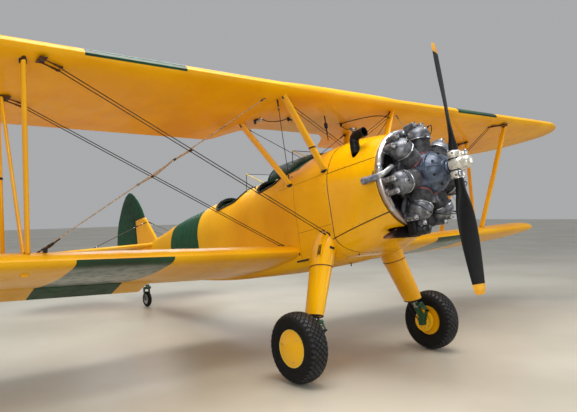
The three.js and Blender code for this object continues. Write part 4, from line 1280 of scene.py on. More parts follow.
def cowl_marks(paint, tint):
    """Joints between the cowl's top, side and bottom sheets, and its rear edge."""
    x, y, z = paint.axes()
    low = (z * -1.0 - 0.4).either(0.0)
    rear = seam(y - 1.17 + low * low * 3.3, 0.0048)
    joints = seam(z - TOP_JOINT, 0.0032).either(seam(z + LOW_JOINT + y * JOINT_SLOPE, 0.0052)).either(rear)
    glare = (x.size() < 0.09) * (z > 0.3) * (y > 0.95)
    tint = paint.mix(glare, tint, GREEN)
    tint = paint.mix(joints * 0.97, tint, rgb(30, 20, 8))
    return tint, joints * 0.9


cowl_paint = coated("cowl_paint", YELLOW, YELLOW_DEEP, 0.26, 0.6, None, cowl_marks)
cowl = Piece("engine_cowl_skin")
lip = [
    cowl_ring(COWL_FROM + 0.006 * (1 - math.cos(a)), 0.006 * (1 - math.sin(a)))
    for a in np.linspace(-1.5, 1.5, 9)
]
outside = [cowl_ring(y) for y in np.linspace(COWL_FROM + 0.012, COWL_TO, 36)]
inside = [cowl_ring(y, 0.006) for y in np.linspace(COWL_TO, COWL_FROM + 0.016, 24)]
cowl.add(loft(lip + outside + inside, loop=True, caps=False), cowl_paint)
pipe_hole = Piece("pipe_hole")
pipe_hole.add(tube([(0.045, 0.462, -0.494), (-0.352, 0.658, -0.503)], [0.067, 0.05], 40), metal_yellow)
elbow_hole = Piece("elbow_hole")
elbow_hole.add(tube([(-0.358, 0.825, 0.2), (-0.358, 0.825, 0.5)], 0.043, 32), metal_yellow)
carved(cowl, [pipe_hole, elbow_hole], "airframe", ["engine_cowl"])

# The baffle and its ribs are black as painted shade deep behind the cylinders.
baffle = Piece("cowl_baffle")
rim_r = COWL_R - 0.008
baffle.add(
    turned(
        [(0.246, 0.545), (0.25, 0.541), (rim_r, 0.541), (rim_r, 0.548), (0.25, 0.548)], 72,
        (0, 0, -COWL_DROP), loop=True,
    ),
    black_satin,
)
for a in turns(14, math.pi / 14):
    ends = [(r * math.cos(a), 0.5395, r * math.sin(a) - COWL_DROP) for r in (0.262, 0.452)]
    baffle.add(tube(ends, 0.0045, 8), black_satin)
baffle.done("airframe", "yellow_metal")


def cowl_point(y, z, side=-1):
    """Place and outward direction on the cowl's side at a height."""
    ring = [p for p in cowl_ring(y) if p[0] * side > 0]
    ring.sort(key=lambda p: p[2])
    xs, zs = [p[0] for p in ring], [p[2] for p in ring]
    x = float(np.interp(z, zs, xs))
    slope = (np.interp(z + 0.01, zs, xs) - np.interp(z - 0.01, zs, xs)) / 0.02
    return Vector((x, y, z)), Vector((side, 0, -slope * side))


base_fastener = plain("base_fastener", rgb(214, 168, 60), rgb(150, 112, 40), 0.4, 0.6, 120, 0.0002)
fasteners = []
for side in (-1, 1):
    for y in np.arange(0.59, 1.18, 0.085):
        for z in (TOP_JOINT + 0.018, TOP_JOINT - 0.018, 0.02 - LOW_JOINT - JOINT_SLOPE * y):
            fasteners.append(cowl_point(y, z, side))
    for z in np.arange(-0.34, 0.2, 0.09):
        fasteners.append(cowl_point(1.172, z, side))
        y = 1.222
        fasteners.append(((side * body_half(y, z), y, z), (side, 0, 0)))
heads("cowl_fasteners", fasteners, 0.0046, 0.0022, 10, base_fastener, "airframe")

screws = []
for side in (-1, 1):
    for y in np.arange(1.27, 1.9, 0.075):
        for z in (0.237, 0.207):
            screws.append(((side * body_half(y, z), y, z), (side, 0, 0.35)))
    for z in np.arange(-0.5, 0.19, 0.08):
        screws.append(((side * body_half(1.705, z), 1.705, z), (side, 0, 0)))
    for a in np.linspace(0.35, 1.45, 8):
        half, top, _, _ = body_values(1.915)
        place = Vector((side * half * math.cos(a), 1.915, SIDE_Z + (top - SIDE_Z) * math.sin(a)))
        screws.append((place, (side * math.cos(a), 0, math.sin(a))))
heads("panel_screws", screws, 0.0042, 0.0024, 8, metal_yellow, "airframe")
print("cowl fasteners:", len(fasteners), "panel screws:", len(screws))

# %% [markdown]
# ## Cockpits
# Each opening has a padded rim of laced leathercloth over a rubber core. A rim is a tube
# on the edge of the skin, and each stitch draws it in a little, which the sweep repeats.
# Seats are pressed metal buckets with a cushion and a lap belt.

# %% Padded rims


def rim_path(name, count=220):
    """Points along the opening's edge on the deck, evenly spaced."""
    outline = np.array(opening(name, 0.002))
    closed = np.vstack([outline, outline[:1]])
    run = np.concatenate([[0], np.cumsum(np.linalg.norm(np.diff(closed, axis=0), axis=1))])
    t = np.linspace(0, run[-1], count, endpoint=False)
    xs, ys = np.interp(t, run, closed[:, 0]), np.interp(t, run, closed[:, 1])
    return [(x, y, deck_height(x, y) + 0.004) for x, y in zip(xs, ys)], run[-1]


def padded_rim(name):
    path, length = rim_path(name)
    pinches = round(length / 0.042)
    radii = [
        0.013 * (1 - 0.07 * abs(math.cos(math.pi * pinches * k / len(path))) ** 6)
        for k in range(len(path))
    ]
    rim = Piece("cockpit_rim_" + name)
    rim.add(tube(path, radii, 14, loop=True), rim_leather)
    made = rim.done("airframe", "black_paint")
    stitches = []
    for k in range(pinches):
        x, y, z = path[round(len(path) * k / pinches) % len(path)]
        out = Vector((x, y - sum(COCKPITS[name][:2]) / 2, 0)).normalized()
        stitches.append(
            (Vector((x, y, z)) + out * 0.0093 + Vector((0, 0, 0.0086)), out + Vector((0, 0, 1)))
        )
    heads("rim_stitches_" + name, stitches, 0.0026, 0.0024, 6, webbing, "airframe")


for name in COCKPITS:
    padded_rim(name)

# %% Windscreens
SCREENS = {"front": (1.715, 1.955, 0.53, 0.682), "rear": (2.605, 2.885, 0.482, 0.645)}
frame_yellow = plain("frame_yellow", rgb(244, 222, 110), rgb(226, 196, 74), 0.36, 0.0, 70, 0.0002)


def pane(corners, thickness):
    """Flat sheet through its corners, given in order round the edge."""
    points = [Vector(p) for p in corners]
    normal = (points[1] - points[0]).cross(points[-1] - points[0]).normalized() * thickness / 2
    return loft([[p - normal for p in points], [p + normal for p in points]])


for name, (y0, y1, base, top) in SCREENS.items():
    screen = Piece(f"windscreen_{name}_panes")
    trim = Piece(f"windscreen_{name}_frame")
    low, high = {}, {}
    for side in (-1, 1):
        low[side] = Vector((side * 0.13, y0, deck_height(0.13, y0) + 0.004))
        high[side] = Vector((side * 0.2, y1 - 0.03, top - 0.006))
    centre_low = Vector((0, y0 - 0.004, deck_height(0, y0 - 0.004) + 0.004))
    screen.add(pane([low[-1], centre_low, low[1], high[1], high[-1]], 0.004), clear_plastic)
    for side in (-1, 1):
        rear = Vector((side * 0.222, y1 - 0.015, deck_height(0.222, y1 - 0.015) + 0.004))
        screen.add(pane([low[side], rear, high[side]], 0.004), clear_plastic)
        trim.add(tube([low[side], high[side]], 0.006, 10), frame_yellow)
        trim.add(tube([low[side], rear], 0.0075, 10), frame_yellow)
        trim.add(tube([high[side], rear], 0.0042, 8), dark_steel)
        for t in (0.0, 0.5, 1.0):
            spot = low[side].lerp(rear, t)
            floor_z = deck_height(spot.x, spot.y)
            trim.add(block((0.016, 0.03, 0.012), (spot.x, spot.y, floor_z + 0.002), edge=0.003), dark_steel)
            trim.add(tube([(spot.x, spot.y, floor_z), spot], 0.003, 8), dark_steel)
    trim.add(tube([high[-1], high[1]], 0.0038, 8), dark_steel)
    trim.add(tube([low[-1], centre_low, low[1]], 0.006, 10), frame_yellow)
    screen.done("airframe", "clear", [f"windscreen_{name}"], crease=20)
    trim.done("airframe", "yellow_metal")

# %% [markdown]
# The front cockpit carries a dark green hood over its instruments: leathercloth on a
# light hoop, which keeps the sun off the dials. It is one arched sheet that grows from
# the deck and rises towards its free edge, with a rolled hem.

# %% Hood over the front panel
hood_leather = leather("hood_leather", rgb(24, 84, 56), rgb(12, 56, 36), 0.0)
HOOD = [
    (1.5, 0.0), (1.58, 0.012), (1.68, 0.034), (1.83, 0.062), (1.96, 0.074), (2.13, 0.082), (2.25, 0.084),
    (2.31, 0.08),
]


def hood_ring(y, rise, inset=0.0):
    arch = []
    half = 0.16 + 0.15 * smoothstep(y, 1.5, 1.95)
    for t in np.linspace(-1, 1, 25):
        x = half * math.sin(t * math.pi / 2)
        crown = math.cos(t * math.pi / 2) ** 0.8
        arch.append((x, y, deck_height(x, min(y, 2.0)) + 0.003 - inset + rise * crown))
    return arch


hood_rows = np.linspace(1.5, 2.31, 34)
rise = [eased([h[0] for h in HOOD], [h[1] for h in HOOD], y) for y in hood_rows]
over = [hood_ring(y, r) for y, r in zip(hood_rows, rise)]
under = [hood_ring(y, r, 0.005) for y, r in zip(hood_rows, rise)]
hood = Piece("panel_hood")
hood.add(loft([a + b[::-1] for a, b in zip(over, under)]), hood_leather)
hood.add(tube([(x, y, z - 0.002) for x, y, z in over[-1]], 0.006, 10), rim_leather)
hood.done("airframe", "green_metal")

# %% Seats
SEATS = {"front": 2.43, "rear": 3.38}


def bucket(y):
    """Pressed seat: a bent sheet from the front lip, over the pan and up the back."""
    rows = [
        (-0.32, -0.27), (-0.31, -0.25), (-0.16, -0.262), (-0.02, -0.262), (0.022, -0.24), (0.036, -0.2),
        (0.044, 0.0), (0.05, 0.16), (0.054, 0.186),
    ]
    knots = [k / (len(rows) - 1) for k in range(len(rows))]
    outer, inner = [], []
    for t in np.linspace(0, 1, 40):
        dy, z = eased(knots, [r[0] for r in rows], t), eased(knots, [r[1] for r in rows], t)
        across = []
        for u in np.linspace(-1, 1, 21):
            fold = max(0.0, abs(u) - 0.8) / 0.2
            lift = 0.1 * fold**1.6
            up = (0.0, -lift) if t > 0.55 else (lift, 0.0)
            across.append((u * 0.203, y + dy + up[1], z + up[0]))
        outer.append(across)
        behind, below = (0.004, 0.0) if t > 0.55 else (0.0, 0.004)
        inner.append([(x, py + behind, pz - below) for x, py, pz in across])
    return loft([a + b[::-1] for a, b in zip(outer, inner)])


for name, y in SEATS.items():
    seat = Piece(f"seat_{name}_bucket")
    seat.add(bucket(y), cockpit_green)
    for side in (-1, 1):
        foot = body_values(y)[2] + WALL + 0.004
        for dy in (-0.23, 0.0):
            path = [(side * 0.14, y + dy, foot), (side * 0.14, y + dy, -0.262)]
            seat.add(tube(path, 0.0125, 12), cockpit_green)
        seat.add(tube([(side * 0.14, y - 0.23, -0.55), (side * 0.14, y, -0.3)], 0.008, 10), cockpit_green)
    seat.done("airframe", "green_metal", [f"seat_{name}"])

# %% [markdown]
# ## Engine
# Seven air-cooled cylinders stand round the crankcase like spokes. Each one is a finned
# steel barrel on a painted base flange and a cast head with a smooth dome. Two rocker
# boxes sit behind the dome, over the valves. One cylinder is drawn upright at the engine's
# centre line and then turned into its seven places, so a detail is only made once.

# %% One cylinder
CYLINDER_Y, POWER_FLAT, STRETCH = 0.335, 0.178, 0.0323
BARREL_R, FIN_R, HEAD_R = 0.076, 0.0945, 0.1115
CYLINDERS = 7
DOME_R, DOME_Z, DOME_RISE = 0.109, 0.19, 0.092


def finned(z0, z1, core, outer, count, thin=0.0024):
    """Profile of rings round a core: (radius, height) pairs from z0 to z1."""
    pitch = (z1 - z0) / count
    profile = []
    for k in range(count):
        z = z0 + pitch * (k + 0.5) - thin / 2
        profile += [
            (core, z), (outer - 0.0008, z), (outer, z + thin / 2), (outer - 0.0008, z + thin),
            (core, z + thin),
        ]
    return profile


def soft_box(rows, power=0.5, sides=24):
    """Rounded box along y from (y, half width, low, high) rows."""
    rings = []
    for y, wide, low, high in rows:
        ring = []
        for t in turns(sides):
            c, s = math.cos(t), math.sin(t)
            x = wide * math.copysign(abs(c) ** power, c)
            ring.append((x, y, (high + low) / 2 + (high - low) / 2 * math.copysign(abs(s) ** power, s)))
        rings.append(ring)
    return loft(rings)


ROCKER_BODY = [
    (-0.046, 0.02, -0.012, 0.03), (-0.044, 0.024, -0.018, 0.034), (-0.03, 0.025, -0.036, 0.036),
    (0.02, 0.026, -0.048, 0.038), (0.058, 0.026, -0.046, 0.037), (0.07, 0.022, -0.036, 0.032),
    (0.073, 0.014, -0.022, 0.022),
]
ROCKER_GASKET = [(-0.049, 0.0225, -0.0165, 0.0325), (-0.045, 0.0225, -0.0165, 0.0325)]
ROCKER_COVER = [
    (-0.062, 0.017, -0.01, 0.026), (-0.06, 0.0215, -0.0155, 0.0315), (-0.05, 0.0235, -0.0175, 0.0335),
    (-0.0485, 0.0235, -0.0175, 0.0335),
]


def rocker_box(side):
    """One rocker box with its cover and bolts, and the matrix that seats it on its side."""
    seat = Matrix.Translation((side * 0.053, 0.034, 0.252 + STRETCH))
    lean = seat @ Matrix.Rotation(-0.1, 4, "X") @ Matrix.Rotation(side * 0.34, 4, "Y")
    made = Piece("rocker_box")
    for rows, finish in (
        (ROCKER_BODY, cast_grey), (ROCKER_GASKET, black_rubber), (ROCKER_COVER, cast_light)
    ):
        made.add(soft_box(rows), finish)
    for x, z in ((0.0, 0.026), (-0.014, -0.008), (0.014, -0.008)):
        profile = [(0, 0.008), (0.0045, 0.008), (0.0052, 0.0), (0, 0)]
        made.add(turned(profile, 6, (x, -0.0615, z), (0, -1, 0)), dark_steel)
    for y in (-0.012, 0.04):
        profile = [(0, 0.008), (0.006, 0.007), (0.0085, 0.0), (0.0085, -0.004), (0, -0.004)]
        made.add(turned(profile, 14, (0.0, y, 0.037), UP), steel)
    stay = turned(
        [(0, 0), (0.009, 0), (0.009, 0.03), (0, 0.03)], 14, (side * -0.022, 0.01, 0.004), (-side, 0, 0)
    )
    made.add(stay, black_rubber)
    return made, lean


def upright_cylinder():
    """An upright cylinder, its foot at zero."""
    made = Piece("cylinder")
    flange = [
        (0, 0), (0.0805, 0), (0.0815, 0.002), (0.0815, 0.011), (0.08, 0.013), (0.0775, 0.014),
        (0.0765, 0.018),
    ]
    made.add(turned(flange + [(0, 0.018)], 48, axis=UP), base_pink)
    barrel = [(0, 0.017), (BARREL_R, 0.017)] + finned(
        0.021, 0.146, BARREL_R, FIN_R, 14
    ) + [(BARREL_R, 0.149), (0, 0.149)]
    made.add(turned(barrel, 48, axis=UP), fin_grey)
    rim = [
        (0.084, 0.145), (0.107, 0.1465), (HEAD_R, 0.149), (HEAD_R, 0.158), (0.108, 0.161), (0.086, 0.162)
    ]
    made.add(turned(rim, 56, axis=UP, loop=True), steel)
    dome = [(0.09, 0.158), (0.1055, 0.163), (0.1085, 0.172), (0.109, 0.19)]
    dome += [(DOME_R * math.cos(a), DOME_Z + DOME_RISE * math.sin(a)) for a in np.linspace(0.12, 1.5, 13)]
    made.add(turned([(0, 0.158)] + dome + [(0, 0.282)], 56, axis=UP), cast_grey)
    for k in range(5):
        reach = DOME_R * math.cos(0.25 + 0.16 * k)
        height = DOME_Z + DOME_RISE * math.sin(0.25 + 0.16 * k)
        arc = [
            (reach * 1.03 * math.cos(t), reach * 1.03 * math.sin(t), height)
            for t in np.linspace(0.42, math.pi - 0.42, 16)
        ]
        made.add(tube(arc, 0.0022, 6), cast_grey)
    for side in (-1, 1):
        made.include(*rocker_box(side))
    bridge = [(-0.02, 0.01, -0.008, 0.008), (-0.018, 0.013, -0.011, 0.011)]
    bridge += [(0.05, 0.013, -0.011, 0.011), (0.052, 0.01, -0.008, 0.008)]
    made.add(soft_box(bridge), dark_steel, Matrix.Translation((0, 0.04, 0.268 + STRETCH)))
    for facing in (-1, 1):
        tilt = Vector((0.0, facing * 0.92, 0.38)).normalized()
        at = Vector((0.0, facing * 0.094, 0.202 + STRETCH))
        boss = [(0, -0.008), (0.021, -0.006), (0.02, 0.003), (0.017, 0.006), (0, 0.006)]
        made.add(turned(boss, 26, at, tilt), cast_light)
        plug = [(0, 0.004), (0.0125, 0.004), (0.0125, 0.015), (0.0085, 0.016), (0.0085, 0.024), (0, 0.024)]
        made.add(turned(plug, 6, at, tilt), steel)
        cap = [(0, 0.022), (0.0075, 0.022), (0.008, 0.04), (0.005, 0.044), (0, 0.044)]
        made.add(turned(cap, 14, at, tilt), dark_steel)
        cone = at + tilt * 0.042
        out = Vector((0, facing, 0))
        lead = [
            cone, cone + out * 0.01 + Vector((0.01, 0, 0.006)),
            cone + Vector((0.034, facing * 0.004, 0.004)), (0.098, facing * 0.078, 0.216),
            (0.114, facing * 0.03, 0.19),
        ]
        lead += [(0.115, 0.05, 0.15), (0.102, 0.1, 0.08), (0.064, 0.128, 0.01)]
        made.add(tube(smooth_path(lead, 4), 0.0042, 8), black_rubber)
    for x, r in ((0.036, 0.024), (-0.036, 0.027)):
        flange = [(0, 0), (r + 0.007, 0), (r + 0.007, 0.008), (r, 0.009), (r, 0.03), (0, 0.03)]
        made.add(
            turned(flange, 28, Vector((x, 0.092, 0.205 + STRETCH)), Vector((0, 0.045, 0.017))), cast_grey
        )
    for side in (-1, 1):
        rod = [(side * 0.05, 0.096, 0.232 + STRETCH), (side * 0.03, 0.15, 0.0)]
        made.add(tube(rod, 0.0085, 12), steel)
    intake = [
        (0.036, 0.112, 0.246), (0.042, 0.146, 0.24), (0.048, 0.162, 0.196), (0.044, 0.168, 0.1),
        (0.032, 0.166, 0.03), (0.022, 0.16, 0.0),
    ]
    made.add(tube(smooth_path(intake, 4), 0.0225, 20), fin_grey)
    stub = [(-0.036, 0.112, 0.246), (-0.034, 0.142, 0.26), (-0.024, 0.168, 0.2688)]
    made.add(tube(smooth_path(stub, 4), 0.0262, 20), ring_steel)
    return made


def smooth_path(points, steps=4):
    """Points on a smooth curve through the given ones."""
    points = [Vector(p) for p in points]
    ends = [points[0] * 2 - points[1], *points, points[-1] * 2 - points[-2]]
    made = []
    for a, b, c, d in zip(ends, ends[1:], ends[2:], ends[3:]):
        for k in range(steps):
            t = k / steps
            bend, ease = 2 * a - 5 * b + 4 * c - d, 3 * b - a - 3 * c + d
            made.append(0.5 * (2 * b + (c - a) * t + bend * t * t + ease * t**3))
    return made + [points[-1]]


# %% [markdown]
# ## Seven places
# The upright cylinder is set out to the crankcase's flats and turned about the crankshaft
# in steps of a seventh of a circle.

# %% Cylinders in place
upright = upright_cylinder()


def round_shaft(radius, y, angles):
    """Places on a circle about the crankshaft."""
    return [(radius * math.cos(t), y, radius * math.sin(t)) for t in angles]


def cylinder_place(k):
    spin = Matrix.Rotation(math.radians(-360 / CYLINDERS * k), 4, "Y")
    return Matrix.Translation((0, CYLINDER_Y, 0)) @ spin @ Matrix.Translation((0, 0, POWER_FLAT))


nuts = []
for k in range(CYLINDERS):
    place = cylinder_place(k)
    cylinder = Piece(f"cylinder_{k + 1}_detail")
    cylinder.include(upright, place)
    cylinder.done("airframe", "cylinders", [f"cylinder_{k + 1}"], crease=35)
    spin = place.to_3x3()
    for t in turns(12, 0.13):
        nut = Vector((0.0752 * math.cos(t), 0.0752 * math.sin(t), 0.014))
        nuts.append((place @ nut, spin @ Vector(UP)))
heads("cylinder_base_nuts", nuts, 0.0062, 0.0075, 6, base_pink, "airframe", top=0.9)
print("base nuts:", len(nuts))

# %% [markdown]
# ## Crankcase
# The nose case is a smooth casting that narrows to the shaft seal, painted blue-grey. The
# power section behind it is a heptagon with rounded corners, one flat to a cylinder.

# %% Crankcase
case = Piece("engine_crankcase_detail")
nose = [
    (0, 0.058), (0.03, 0.056), (0.044, 0.058), (0.05, 0.064), (0.052, 0.074), (0.07, 0.078), (0.078, 0.084),
    (0.08, 0.092), (0.085, 0.094), (0.099, 0.1), (0.118, 0.112), (0.135, 0.13), (0.148, 0.15),
    (0.158, 0.172), (0.166, 0.19), (0.17, 0.2), (0.176, 0.204), (0.186, 0.206), (0.188, 0.21),
    (0.188, 0.224), (0.182, 0.23), (0.176, 0.238), (0, 0.238),
]
case.add(turned(nose, 84), case_blue)


def power_ring(y, flat):
    """Heptagon with rounded corners; flats face the cylinders."""
    half_flat = math.pi / CYLINDERS
    ring = []
    for t in turns(112, math.pi / 2):
        near = (t - math.pi / 2 + half_flat) % (2 * half_flat) - half_flat
        corner = min(flat / math.cos(near), flat * 1.075)
        ring.append((corner * math.cos(t), y, corner * math.sin(t)))
    return ring


section = [(0.226, 0.162), (0.23, 0.173), (0.238, 0.1775), (0.436, 0.1775), (0.446, 0.172), (0.452, 0.16)]
case.add(loft([power_ring(y, flat) for y, flat in section]), case_blue)
rear = [
    (0, 0.44), (0.165, 0.44), (0.165, 0.452), (0.228, 0.458), (0.236, 0.47), (0.236, 0.525), (0.228, 0.545),
    (0.19, 0.575), (0.15, 0.6), (0.15, 1.19), (0, 1.19),
]
case.add(turned(rear, 64), fin_grey)
case.add(turned([(0.0, 0.02), (0.029, 0.02), (0.029, 0.065), (0.0, 0.065)], 24), steel)
for a in turns(CYLINDERS, math.pi / 2 + math.pi / CYLINDERS):
    rib = [
        (r * math.cos(a), y, r * math.sin(a))
        for r, y in ((0.084, 0.094), (0.117, 0.11), (0.149, 0.152), (0.165, 0.19))
    ]
    case.add(tube(smooth_path(rib, 4), 0.0055, 8), case_blue)
for t in turns(7, math.pi / 2 + 0.16):
    at = Vector((0.143 * math.cos(t), 0.143, 0.143 * math.sin(t)))
    profile = [(0, 0.012), (0.011, 0.011), (0.0125, 0.008), (0.0125, -0.006), (0, -0.006)]
    case.add(turned(profile, 20, at, (math.cos(t) * 0.62, -0.78, math.sin(t) * 0.62)), dark_steel)
sump = [(-0.1, 0.3, -0.235), (-0.04, 0.28, -0.262), (0.04, 0.28, -0.262), (0.1, 0.3, -0.235)]
case.add(tube(smooth_path(sump, 5), 0.018, 16), fin_grey)
profile = [(0, 0.0), (0.034, 0.0), (0.038, 0.006), (0.038, 0.05), (0.03, 0.062), (0, 0.062)]
case.add(turned(profile, 28, (0.0, 0.285, -0.215), (0, 0, -1)), cast_grey)
case.done("airframe", "crankcase", ["engine_crankcase"], crease=35)

bolts = []
for count, r, y in ((28, 0.1805, 0.2055), (14, 0.07, 0.0775)):
    for t in turns(count):
        bolts.append(((r * math.cos(t), y - 0.001, r * math.sin(t)), (0, -1, 0)))
heads("crankcase_bolts", bolts, 0.0052, 0.007, 6, case_blue, "airframe", top=0.85)
harness = Piece("ignition_ring")
ring_path = round_shaft(0.248, 0.478, turns(84))
harness.add(tube(ring_path, 0.0095, 12, loop=True), steel)
harness.done("airframe", "cylinders")

# %% [markdown]
# ## Exhaust
# A ring behind the heads collects the exhaust of all seven and lets it out at the bottom,
# through a tail pipe with a slanted mouth. The polished ring is browner below and paler
# above: a painted reflection of the floor and the hall. The pipe is black with rust at its tip.

# %% Collector ring and tail pipe
RING_R, RING_TUBE, RING_Y = 0.446, 0.038, 0.5
exhaust = Piece("exhaust_collector_detail")
circle = round_shaft(RING_R, RING_Y, turns(140, math.pi / 2))
exhaust.add(tube(circle, RING_TUBE, 22, loop=True), ring_steel)
for t in turns(CYLINDERS, math.pi / 2 + math.pi / CYLINDERS):
    runs = (-0.024, -0.02, -0.004, 0.0, 0.004, 0.02, 0.024)
    band = round_shaft(RING_R, RING_Y, [t + run / RING_R for run in runs])
    exhaust.add(tube(band, [0.0382, 0.0398, 0.0398, 0.0412, 0.0398, 0.0398, 0.0382], 22), steel)
    ear = Vector((RING_R * math.cos(t), RING_Y - 0.041, RING_R * math.sin(t)))
    exhaust.add(block((0.02, 0.018, 0.02), ear, edge=0.003), dark_steel)
PIPE_FROM, PIPE_TO = Vector((-0.03, 0.499, -0.496)), Vector((-0.352, 0.658, -0.503))
pipe_way = (PIPE_TO - PIPE_FROM).normalized()
SLANT = 0.165


def slash_ring(centre, radius, slant, sides=40):
    """Circle across the pipe whose upper front side is cut back by slant metres."""
    side, up = basis(pipe_way)
    cut_side = Vector((0, -0.42, 0.91)).normalized()
    ring = []
    for t in turns(sides):
        off = math.cos(t) * side + math.sin(t) * up
        ring.append(centre + off * radius - pipe_way * slant * (0.5 * (1 + off.dot(cut_side))) ** 1.3)
    return ring


rows = []
for share in np.linspace(0, 1, 13):
    rows.append(slash_ring(PIPE_FROM.lerp(PIPE_TO, share), 0.062 - 0.026 * share**1.4, SLANT * share**3))
rows.append(slash_ring(PIPE_TO, 0.0335, SLANT))
for share in np.linspace(1, 0.35, 8):
    rows.append(slash_ring(PIPE_FROM.lerp(PIPE_TO, share), 0.058 - 0.026 * share**1.4, SLANT * share**3))
exhaust.add(loft(rows), tail_pipe_steel)
saddle = [(-0.035, 0.497, -0.494), (-0.015, 0.498, -0.478), (-0.005, 0.5, -0.44)]
exhaust.add(
    tube(smooth_path(saddle, 3), [0.058, 0.057, 0.056, 0.054, 0.05, 0.046, 0.04], 28), tail_pipe_steel
)
elbow_cap = turned(
    [(0.0, 0.0), (0.03, 0.002), (0.05, 0.012), (0.062, 0.03)], 40, PIPE_FROM - pipe_way * 0.03, pipe_way
)
exhaust.add(elbow_cap, tail_pipe_steel)
exhaust.done("airframe", "exhaust", ["exhaust_collector"], crease=35, closed=True)
air_box = Piece("carburettor_air_box")
air_box.add(block((0.15, 0.12, 0.15), (-0.02, 0.4, -0.415), edge=0.03, steps=4), blade_black)
air_box.add(block((0.2, 0.11, 0.15), (-0.125, 0.43, -0.48), edge=0.034, steps=4), blade_black)
profile = [(0, 0.0), (0.058, 0.0), (0.064, 0.01), (0.064, 0.06), (0.052, 0.075), (0, 0.075)]
air_box.add(turned(profile, 28, (-0.055, 0.395, -0.465), (-0.3, 0.2, -1)), black_satin)
path = [(0.04, 0.42, -0.43), (0.085, 0.44, -0.45), (0.1, 0.5, -0.42)]
air_box.add(tube(smooth_path(path, 4), 0.024, 16), black_satin)
air_box.done("airframe", "exhaust")

# %% Intake elbow
def hollow(path, radius, inner_path, inner_radius, sides):
    """Pipe that is open at its far end, with an inside of its own."""
    outer, inner = (
        np.array([tuple(p) for p in tube(way, size, sides)[0]]).reshape(-1, sides, 3)
        for way, size in ((path, radius), (inner_path, inner_radius))
    )
    return loft(np.concatenate([outer, inner[::-1]]))


elbow = Piece("intake_elbow_detail")
ELBOW_X, ELBOW_Y = -0.358, 0.825
route = smooth_path(
    [
        (ELBOW_X, ELBOW_Y, 0.325), (ELBOW_X, ELBOW_Y, 0.4), (ELBOW_X, ELBOW_Y - 0.006, 0.456),
        (ELBOW_X, ELBOW_Y - 0.04, 0.49), (ELBOW_X, ELBOW_Y - 0.15, 0.497),
    ],
    6,
)
elbow.add(hollow(route, 0.0465, route[4:], 0.0395, 32), blade_black)
for index in (5, 12):
    near = route[index]
    way = (route[index + 1] - near).normalized()
    profile = [(0.0462, -0.008), (0.0482, -0.007), (0.0482, 0.007), (0.0462, 0.008)]
    elbow.add(turned(profile, 32, near, way, loop=True), dark_steel)
elbow.done("airframe", "black_paint", ["intake_elbow"])

# %% [markdown]
# On the starboard side a short grey horn brings air from behind the cylinders to the
# carburettor heater; its wide mouth faces aft, a hand's breadth off the cowl.

# %% Side horn
horn = Piece("cowl_side_horn")
horn_route = smooth_path(
    [
        (-0.372, 0.4, 0.085), (-0.41, 0.41, 0.06), (-0.456, 0.44, 0.026), (-0.494, 0.52, 0.006),
        (-0.522, 0.65, 0.000),
    ],
    5,
)
widths = np.linspace(0, 1, len(horn_route))
horn_out = [0.022 + 0.013 * w**1.5 for w in widths]
horn_shape = hollow(horn_route, horn_out, horn_route[6:], [r - 0.0025 for r in horn_out[6:]], 24)
# The horn's inner part takes the pale cast finish and its mouth the darker blue-grey: painted highlight and
# painted shade on one grey metal.
horn.add(horn_shape, [cast_light if k < 24 * 13 else horn_mouth_shade for k in range(len(horn_shape[1]))])
profile = [(0.0322, -0.004), (0.037, -0.003), (0.037, 0.003), (0.0322, 0.004)]
horn.add(turned(profile, 28, horn_route[-2], horn_route[-1] - horn_route[-2], loop=True), horn_mouth_shade)
horn.add(tube([(-0.494, 0.54, 0.03), (-0.47, 0.55, 0.072)], 0.006, 10), dark_steel)
horn.done("airframe", "cylinders")

# %% [markdown]
# ## Propeller
# Two metal blades are clamped in a steel hub, painted off-white, that carries counterweights
# and a domed cylinder in front. A blade is a loft of thin ovals that turn less and less
# towards the tip; the last stretch is yellow so that the disc is seen when it spins.

# %% Hub
hub = Piece("propeller_hub_detail")
front = [
    (0, -0.17), (0.022, -0.169), (0.039, -0.163), (0.05, -0.152), (0.0555, -0.139), (0.0575, -0.126),
    (0.0575, -0.112), (0.06, -0.11), (0.06, -0.101), (0.056, -0.098), (0.056, -0.084), (0.06, -0.076),
    (0.064, -0.068), (0.066, 0.02), (0.062, 0.03), (0.04, 0.034), (0.034, 0.04), (0.034, 0.0495),
    (0, 0.0495),
]
hub.add(turned(front, 48), hub_white)
barrel = [
    (0, -0.122), (0.05, -0.122), (0.059, -0.119), (0.064, -0.114), (0.0655, -0.108), (0.0655, -0.09),
    (0.0615, -0.086), (0.0615, -0.08), (0.0655, -0.076), (0.06, -0.062), (0.0585, -0.03),
]
barrel += [(r, -h) for r, h in barrel[::-1]]
hub.add(turned(barrel, 48, (0, -0.01, 0), UP), hub_white)
for end in (-1, 1):
    for side in (-1, 1):
        ear = Vector((side * 0.064, -0.01, end * 0.099))
        hub.add(block((0.026, 0.036, 0.034), ear, edge=0.004), hub_white)
        profile = [(0, -0.026), (0.0075, -0.026), (0.0075, 0.026), (0, 0.026)]
        hub.add(turned(profile, 6, ear, (0, 1, 0)), dark_steel)
    collar = turned(
        [(0.04, 0.112), (0.052, 0.114), (0.054, 0.121), (0.052, 0.129), (0.04, 0.132)], 40, (0, -0.01, 0),
        (0, 0, end), loop=True,
    )
    hub.add(collar, steel)
    arm = Vector((end * 0.052, -0.05, end * 0.098))
    hub.add(
        block((0.03, 0.06, 0.03), arm, Matrix.Rotation(end * 0.5, 3, "Z"), edge=0.007, steps=3), hub_white
    )
    hub.add(
        block(
            (0.044, 0.03, 0.052), arm + Vector((end * 0.016, -0.036, 0)),
            Matrix.Rotation(end * 0.5, 3, "Z"), edge=0.01, steps=3,
        ),
        steel,
    )
for z in (-0.052, 0.052):
    profile = [(0.06, -0.006), (0.0672, -0.005), (0.0672, 0.005), (0.06, 0.006)]
    hub.add(turned(profile, 48, (0, -0.01, z), UP, loop=True), dark_steel)
hub.done("propeller", "hub_metal", ["propeller_hub"], crease=35)
